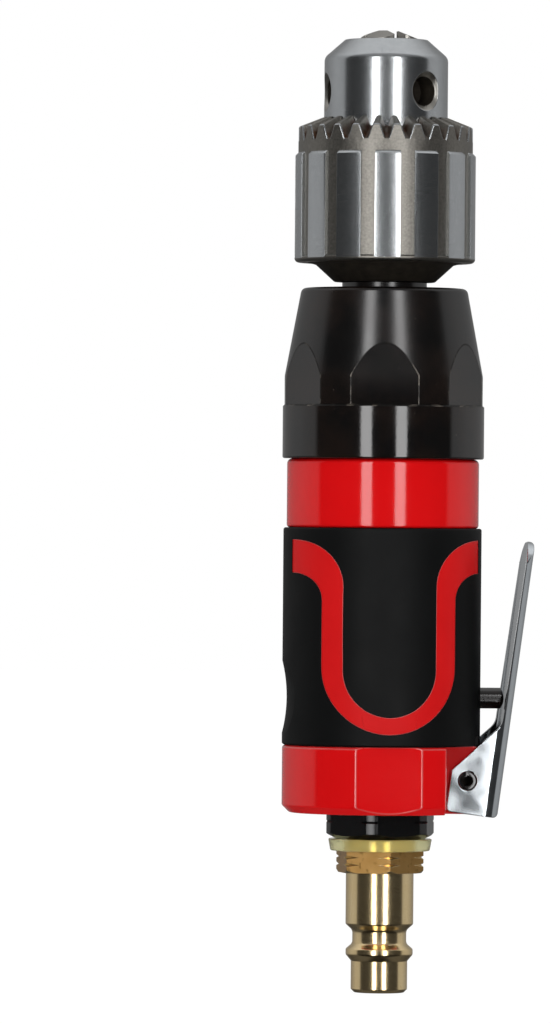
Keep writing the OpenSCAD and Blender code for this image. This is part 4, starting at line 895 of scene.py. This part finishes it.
z_flats = 103.2
z_gears = 110.12
z_bearings = 112
z_seal = 123.2
z_nose = 124
gears_r = thread_r + 0.05
bearings_r = 10.52
mouth_r = 9.2
band_r = 17.85
cone_r = 17.55
front = turned("front_housing", [
    (gears_r, z_front), (band_r, z_front, 0.4), (band_r, z_flats, 0.3), (cone_r, z_flats), (cone_r, 108.4, 2),
    (14.65, z_nose, 1), (mouth_r, z_nose), (mouth_r, z_seal), (bearings_r, z_seal), (bearings_r, z_bearings),
    (11.4, z_bearings), (11.4, z_gears), (gears_r, z_gears),
], 180)
facing = -94.5
flat_ways = [heading(facing + 60 * i) for i in range(6)]
for i in range(6):
    miller = block((half_flats + 10, 0, z_flats + 20), (20, 40, 40))
    miller.rotation_euler.z = radians(facing + 60 * i)
    cut(front, miller)
coated(front, black_oxide, worn_oxide)
merged(front, 0.05)
crisp(front, width=0.14, edge_highlight_and_wear=1, limit=32, is_flat=lambda face: abs(face.normal.z) < 0.001 and any(
    face.normal.dot(way) > 0.9999 and abs(face.center.dot(way) / MM - half_flats) < 0.1 for way in flat_ways
))
smoothed(front, limit=32)
for face in front.data.polygons:
    middle = face.center / MM
    on_shoulder = z_flats - 0.3 < middle.z < z_flats and middle.to_2d().length > cone_r + 0.05
    if on_shoulder and face.normal.z > 0.3:
        face.material_index = 1
fit(front, "housing", "black_oxide", "front_housing")

# Spindle nose
# The collar that the chuck is screwed down on, turned from steel and blackened.
# A ring of felt, pressed into the mouth of the front housing, seals the gap round it.
z_chuck = 125.1
collar_r = 7.5
collar = turned("spindle_collar", [(6, z_seal), (collar_r, z_seal), (collar_r, z_chuck, 0.15), (6, z_chuck)])
smoothed(collar)
coated(collar, black_oxide)
fit(collar, "spindle", "black_oxide", "spindle_collar")
felt_in = collar_r + 0.05
felt_out = mouth_r - 0.02
felt_low = z_seal + 0.1
felt_high = z_nose - 0.1
nose_seal = turned("nose_seal", [
    (felt_in, felt_low), (felt_out, felt_low), (felt_out, felt_high, 0.2), (felt_in, felt_high, 0.2),
])
smoothed(nose_seal)
coated(nose_seal, felt)
fit(nose_seal, "housing", "seal_rubber", "nose_seal")

# Chuck body
# A solid steel nose, turned and ground bright, with three sloping bores for the jaws
# and three countersunk holes for the pilot of the key.
z_sleeve = 128.5
z_throat = 137
z_slot = 146.4
z_top = 150.8
z_face = 168
body_r = 13.65
neck_r = 9
nose_r = 10.95
taper_r = 4.7
throat_r = 4.2
chuck = turned("chuck_body", [
    (taper_r, z_chuck), (8.9, z_chuck, 0.5), (12.2, z_sleeve - 0.4), (body_r, z_sleeve), (body_r, z_slot),
    (neck_r, z_slot), (neck_r, z_top), (nose_r, z_top), (nose_r, z_face - 3.2, 1.6), (7.3, z_face, 0.4),
    (throat_r, z_face), (throat_r, z_throat), (taper_r, z_throat),
], 160)


def ringed(piece, count):
    """Repeats a piece evenly about the tool axis, each copy with its own mesh, and joins them."""
    row = [piece]
    only(piece)
    for i in range(1, count):
        bpy.ops.object.duplicate()
        bpy.context.object.rotation_euler.z = 2 * pi * i / count
        row.append(bpy.context.object)
    for member in row:
        member.select_set(True)
    bpy.context.view_layer.objects.active = piece
    bpy.ops.object.transform_apply(location=False, rotation=True, scale=False)
    bpy.ops.object.join()
    return piece


key_turn = -54.1
key_z = z_face - 9.4
key_r = 2.55
key_floor = nose_r - 4.6
countersink = 0.95
key_ways = [heading(key_turn + 120 * i) for i in range(3)]
key_hole = turned("key_holes", [
    (0, key_floor), (key_r, key_floor), (key_r, nose_r - countersink),
    (key_r + 2 * countersink, nose_r + countersink), (0, nose_r + countersink),
], 48)
settled(key_hole, (0, pi / 2, radians(key_turn)), (0, 0, key_z))
jaw_r = 2.55
jaw_out = 3.3
jaw_depth = 38.6
jaw_slope = radians(11)
out = heading(key_turn + 60)
way = Vector((0, 0, cos(jaw_slope))) - out * sin(jaw_slope)
at_face = Vector((0, 0, z_face)) + out * jaw_out
jaw_bore = rod(jaw_r, at_face - way * jaw_depth, at_face + way)
only(jaw_bore)
bpy.ops.object.transform_apply()
cut(chuck, ringed(key_hole, 3), ringed(jaw_bore, 3))
merged(chuck, 0.03)
smoothed(chuck, bevel=0.08, segments=2, limit=35)
# Its back is painted dark as a painted reflection of the dark room below it, and its key holes are painted
# dark as painted shade in their hollows; the countersinks are grey from the drill
coated(chuck, bright_steel, grease_and_painted_shade, dull_steel)
for face in chuck.data.polygons:
    middle = face.center / MM
    if middle.z < z_sleeve + 0.1:
        face.material_index = 1
    for way in key_ways:
        along = middle.dot(way)
        aside = (middle - Vector((0, 0, key_z)) - way * along).length
        if 0 < along < nose_r - countersink + 0.05 and aside < key_r + 0.15:
            face.material_index = 1
        elif 0 < along < nose_r - 0.1 and aside < key_r + 1.05 and face.normal.dot(way) < 0.85:
            face.material_index = 2
fit(chuck, "spindle", "bright_steel", "chuck_body")

# Chuck sleeve
# A steel sleeve that the key turns: fourteen ground ribs for the hand, and a crown of twenty-six bevel teeth.
# It is left grey between the ribs, and the gaps of the crown are darkened brown, partly grease stain and
# partly painted shade.
apex = key_z
root_r = 15.45
rib_r = 16
crown_in = 11
bore_top = 13.55
bore_foot = 13.7
z_root = 149.9
ribs = 14
teeth = 26
sleeve = turned("chuck_sleeve", [
    (bore_foot, z_sleeve), (rib_r, z_sleeve, 0.75), (rib_r, 129.3), (15.8, 129.5), (root_r, 129.6),
    (root_r, z_root), (crown_in, apex - (apex - z_root) * crown_in / root_r), (crown_in, z_top),
    (bore_top, z_top), (bore_top, z_slot + 0.1), (bore_foot, z_slot + 0.1),
], 182)

rib_foot = 129.1
rib_top = 147.95
rib_in = 15.2
rib = sector("ribs", [
    (rib_in, rib_foot), (rib_r, rib_foot), (rib_r, rib_top - 0.55), (root_r, rib_top), (rib_in, rib_top),
], middle=-93.6, arc=16.6, sides=240)
applied(rib, "BEVEL", width=0.14 * MM, segments=3, limit_method="ANGLE", angle_limit=radians(30))
cut(sleeve, ringed(rib, ribs), operation="UNION")

half_gap = 0.3
depth = 2.6
foot = -0.4
flank = tan(radians(20))
half_root = pi * root_r / teeth - half_gap
half_top = half_root - depth * flank
half_foot = half_root - foot * flank
tooth_r = root_r - 0.05
tooth = drawn("teeth", [
    (tooth_r, -half_foot, z_root + foot), (tooth_r, half_foot, z_root + foot),
    (tooth_r, half_top, z_root + depth), (tooth_r, -half_top, z_root + depth),
], push=(0, 0, 0), shrink=crown_in / root_r, towards=(0, 0, apex))
applied(tooth, "BEVEL", width=0.26 * MM, segments=4, limit_method="ANGLE", angle_limit=radians(40))
settled(tooth, (0, 0, radians(facing + 180 / teeth)))
cut(sleeve, ringed(tooth, teeth), operation="UNION")
merged(sleeve, 0.03)
smoothed(sleeve, limit=35)

# Grey steel as it came from the mill: sand-coloured specks of about 0.4 mm, and the gaps between the teeth
# darkened brown, partly grease stain and partly painted shade
mill_steel, place = new_finish("mill_grey_steel")
sand = noise(mill_steel, place, 2600, 4)
cloud = noise(mill_steel, place, 420, 5)
grey = toned(mill_steel, sand, "#64625d", "#9f9b94")
spot = add(mill_steel, "SeparateXYZ", {"Vector": place})
flat = add(mill_steel, "CombineXYZ", {"X": spot.outputs["X"], "Y": spot.outputs["Y"]})
out = add(mill_steel, "VectorMath", {0: flat}, operation="LENGTH")
inside = mapped(mill_steel, out, 0.0151, 0.0154, 1, 0)
below = add(mill_steel, "Math", {0: apex * MM, 1: spot.outputs["Z"]}, operation="SUBTRACT")
steep = add(mill_steel, "Math", {0: below, 1: out}, operation="DIVIDE")
above = mapped(mill_steel, steep, 0.42, 0.49)
crown = add(mill_steel, "Math", {0: inside, 1: above}, operation="MULTIPLY")
patchy = mapped(mill_steel, cloud, 0.35, 0.6, 0.25)
# Painted shade mixed with grease stain, in patches, in the gaps of the crown
crown_gap_grease_and_shade = add(mill_steel, "Math", {0: crown, 1: patchy}, operation="MULTIPLY")
crown_gap_grease_and_shade_tone = toned(mill_steel, sand, "#1c120b", "#5a371d")
tone = toned(mill_steel, crown_gap_grease_and_shade, grey, crown_gap_grease_and_shade_tone)
metal = mapped(mill_steel, crown_gap_grease_and_shade, 0, 1, 1, 0.2)
rough = mapped(mill_steel, sand, 0, 1, 0.34, 0.5)
grit = bumped(mill_steel, sand, 0.35, 0.00006)
surfaced(mill_steel, {"Base Color": tone, "Metallic": metal, "Roughness": rough, "Normal": grit})
coated(sleeve, mill_steel, bright_steel)
for face in sleeve.data.polygons:
    middle = face.center / MM
    out = middle.to_2d().length
    on_rib = out > root_r + 0.1 and rib_foot + 0.3 < middle.z < rib_top + 0.05
    outward = face.normal.to_2d().dot(middle.to_2d()) / out
    if on_rib or (middle.z > z_root + 0.2 and out > 14.9 and 0.2 < outward < 0.95):
        face.material_index = 1
fit(sleeve, "sleeve", "dull_steel", "chuck_sleeve")
dress(dull_steel, "chuck_nut", *[f"chuck_jaw_{i}" for i in (1, 2, 3)])

# Studio
# The drill stands on its plug on a pale floor, before a white screen, between two tall soft strip lights.
# The camera looks at it level, a little from the left, as a long lens would.
camera_away = 1.5
camera_roll = Quaternion((0, 0, 1), radians(0.47))
towards = heading(facing)
right = Vector((-towards.y, towards.x, 0))
aim = -0.01898 * right + Vector((0, 0, 0.08427))
camera = bpy.data.objects.new("camera", bpy.data.cameras.new("camera"))
bpy.context.scene.collection.objects.link(camera)
camera.data.lens = 297.8
camera.data.sensor_width = 36
camera.location = aim + camera_away * towards
camera.rotation_mode = "QUATERNION"
camera.rotation_quaternion = (-towards).to_track_quat("-Z", "Y") @ camera_roll
bpy.context.scene.camera = camera

strip_away = 0.62
strip_turn = 19.8
for side in (-1, 1):
    way = Quaternion((0, 0, 1), radians(strip_turn * side)) @ towards
    strip = bpy.data.objects.new("strip_light", bpy.data.lights.new("strip_light", "AREA"))
    bpy.context.scene.collection.objects.link(strip)
    strip.data.shape = "RECTANGLE"
    strip.data.size = 0.135
    strip.data.size_y = 0.9
    strip.data.energy = 2.2
    strip.location = strip_away * way + Vector((0, 0, 0.09))
    strip.rotation_mode = "QUATERNION"
    strip.rotation_quaternion = (-way).to_track_quat("-Z", "Y")

# A white screen hangs behind the drill. The room is grey beside it, and dark in front, between the lights
world = bpy.data.worlds.new("studio")
world.use_nodes = True
world.node_tree.nodes.clear()
bpy.context.scene.world = world
way = add(world, "TexCoord").outputs["Generated"]
ahead = add(world, "VectorMath", {0: way, 1: towards}, operation="DOT_PRODUCT")
sides = mapped(world, ahead, 0.07, 0.16, 0.5, 0.05)
back = mapped(world, ahead, -0.85, -0.35, 0.22, 0)
room = add(world, "Math", {0: sides, 1: back}, operation="SUBTRACT")
height = add(world, "SeparateXYZ", {"Vector": way})
ground = mapped(world, height.outputs["Z"], -0.4, -0.05, 0.2)
room = add(world, "Math", {0: room, 1: ground}, operation="MULTIPLY")
ceiling = mapped(world, height.outputs["Z"], 0.45, 0.9, 0, 0.35)
room = add(world, "Math", {0: room, 1: ceiling}, operation="ADD")
rays = add(world, "LightPath")
screen = mapped(world, ahead, -0.998, -0.99, 1, 0)
spill = mapped(world, ahead, -0.6, 0, 0.6, 0)
spill = add(world, "Math", {0: spill, 1: rays.outputs["Is Diffuse Ray"]}, operation="MULTIPLY")
room = add(world, "Math", {0: room, 1: spill}, operation="ADD")
mirrored = add(world, "Math", {0: screen, 1: rays.outputs["Is Glossy Ray"]}, operation="MULTIPLY")
seen = add(world, "Math", {0: room, 1: mirrored}, operation="MAXIMUM")
for ray in ("Is Camera Ray", "Is Transmission Ray"):
    seen = add(world, "Math", {0: seen, 1: rays.outputs[ray]}, operation="MAXIMUM")
glow = add(world, "Background", {"Color": (1, 1, 1, 1), "Strength": seen})
add(world, "OutputWorld", {"Surface": glow})

bpy.ops.object.select_all(action="DESELECT")
bpy.ops.mesh.primitive_plane_add(size=6, location=(0, 0, plug_foot * MM))
floor = bpy.context.object
floor.name = "floor"
pale, place = new_finish("pale_floor")
paper = noise(pale, place, 40, 3)
white = toned(pale, paper, "#f2f2f2", "#f6f6f6")
matt = add(pale, "BsdfDiffuse", {"Color": white})
lit = add(pale, "Emission", {"Color": (1, 1, 1, 1), "Strength": 1.04})
rays = add(pale, "LightPath")
seen = add(
    pale, "Math", {0: rays.outputs["Is Camera Ray"], 1: rays.outputs["Is Glossy Ray"]}, operation="MAXIMUM"
)
seen = add(pale, "Math", {0: seen, 1: rays.outputs["Is Transmission Ray"]}, operation="MAXIMUM")
share = add(pale, "Math", {0: seen, 1: 0.93}, operation="MULTIPLY")
mixed = add(pale, "MixShader", {0: share, 1: matt, 2: lit})
add(pale, "OutputMaterial", {"Surface": mixed})
coated(floor, pale)
floor.visible_glossy = False

bpy.context.scene.view_settings.view_transform = "Standard"
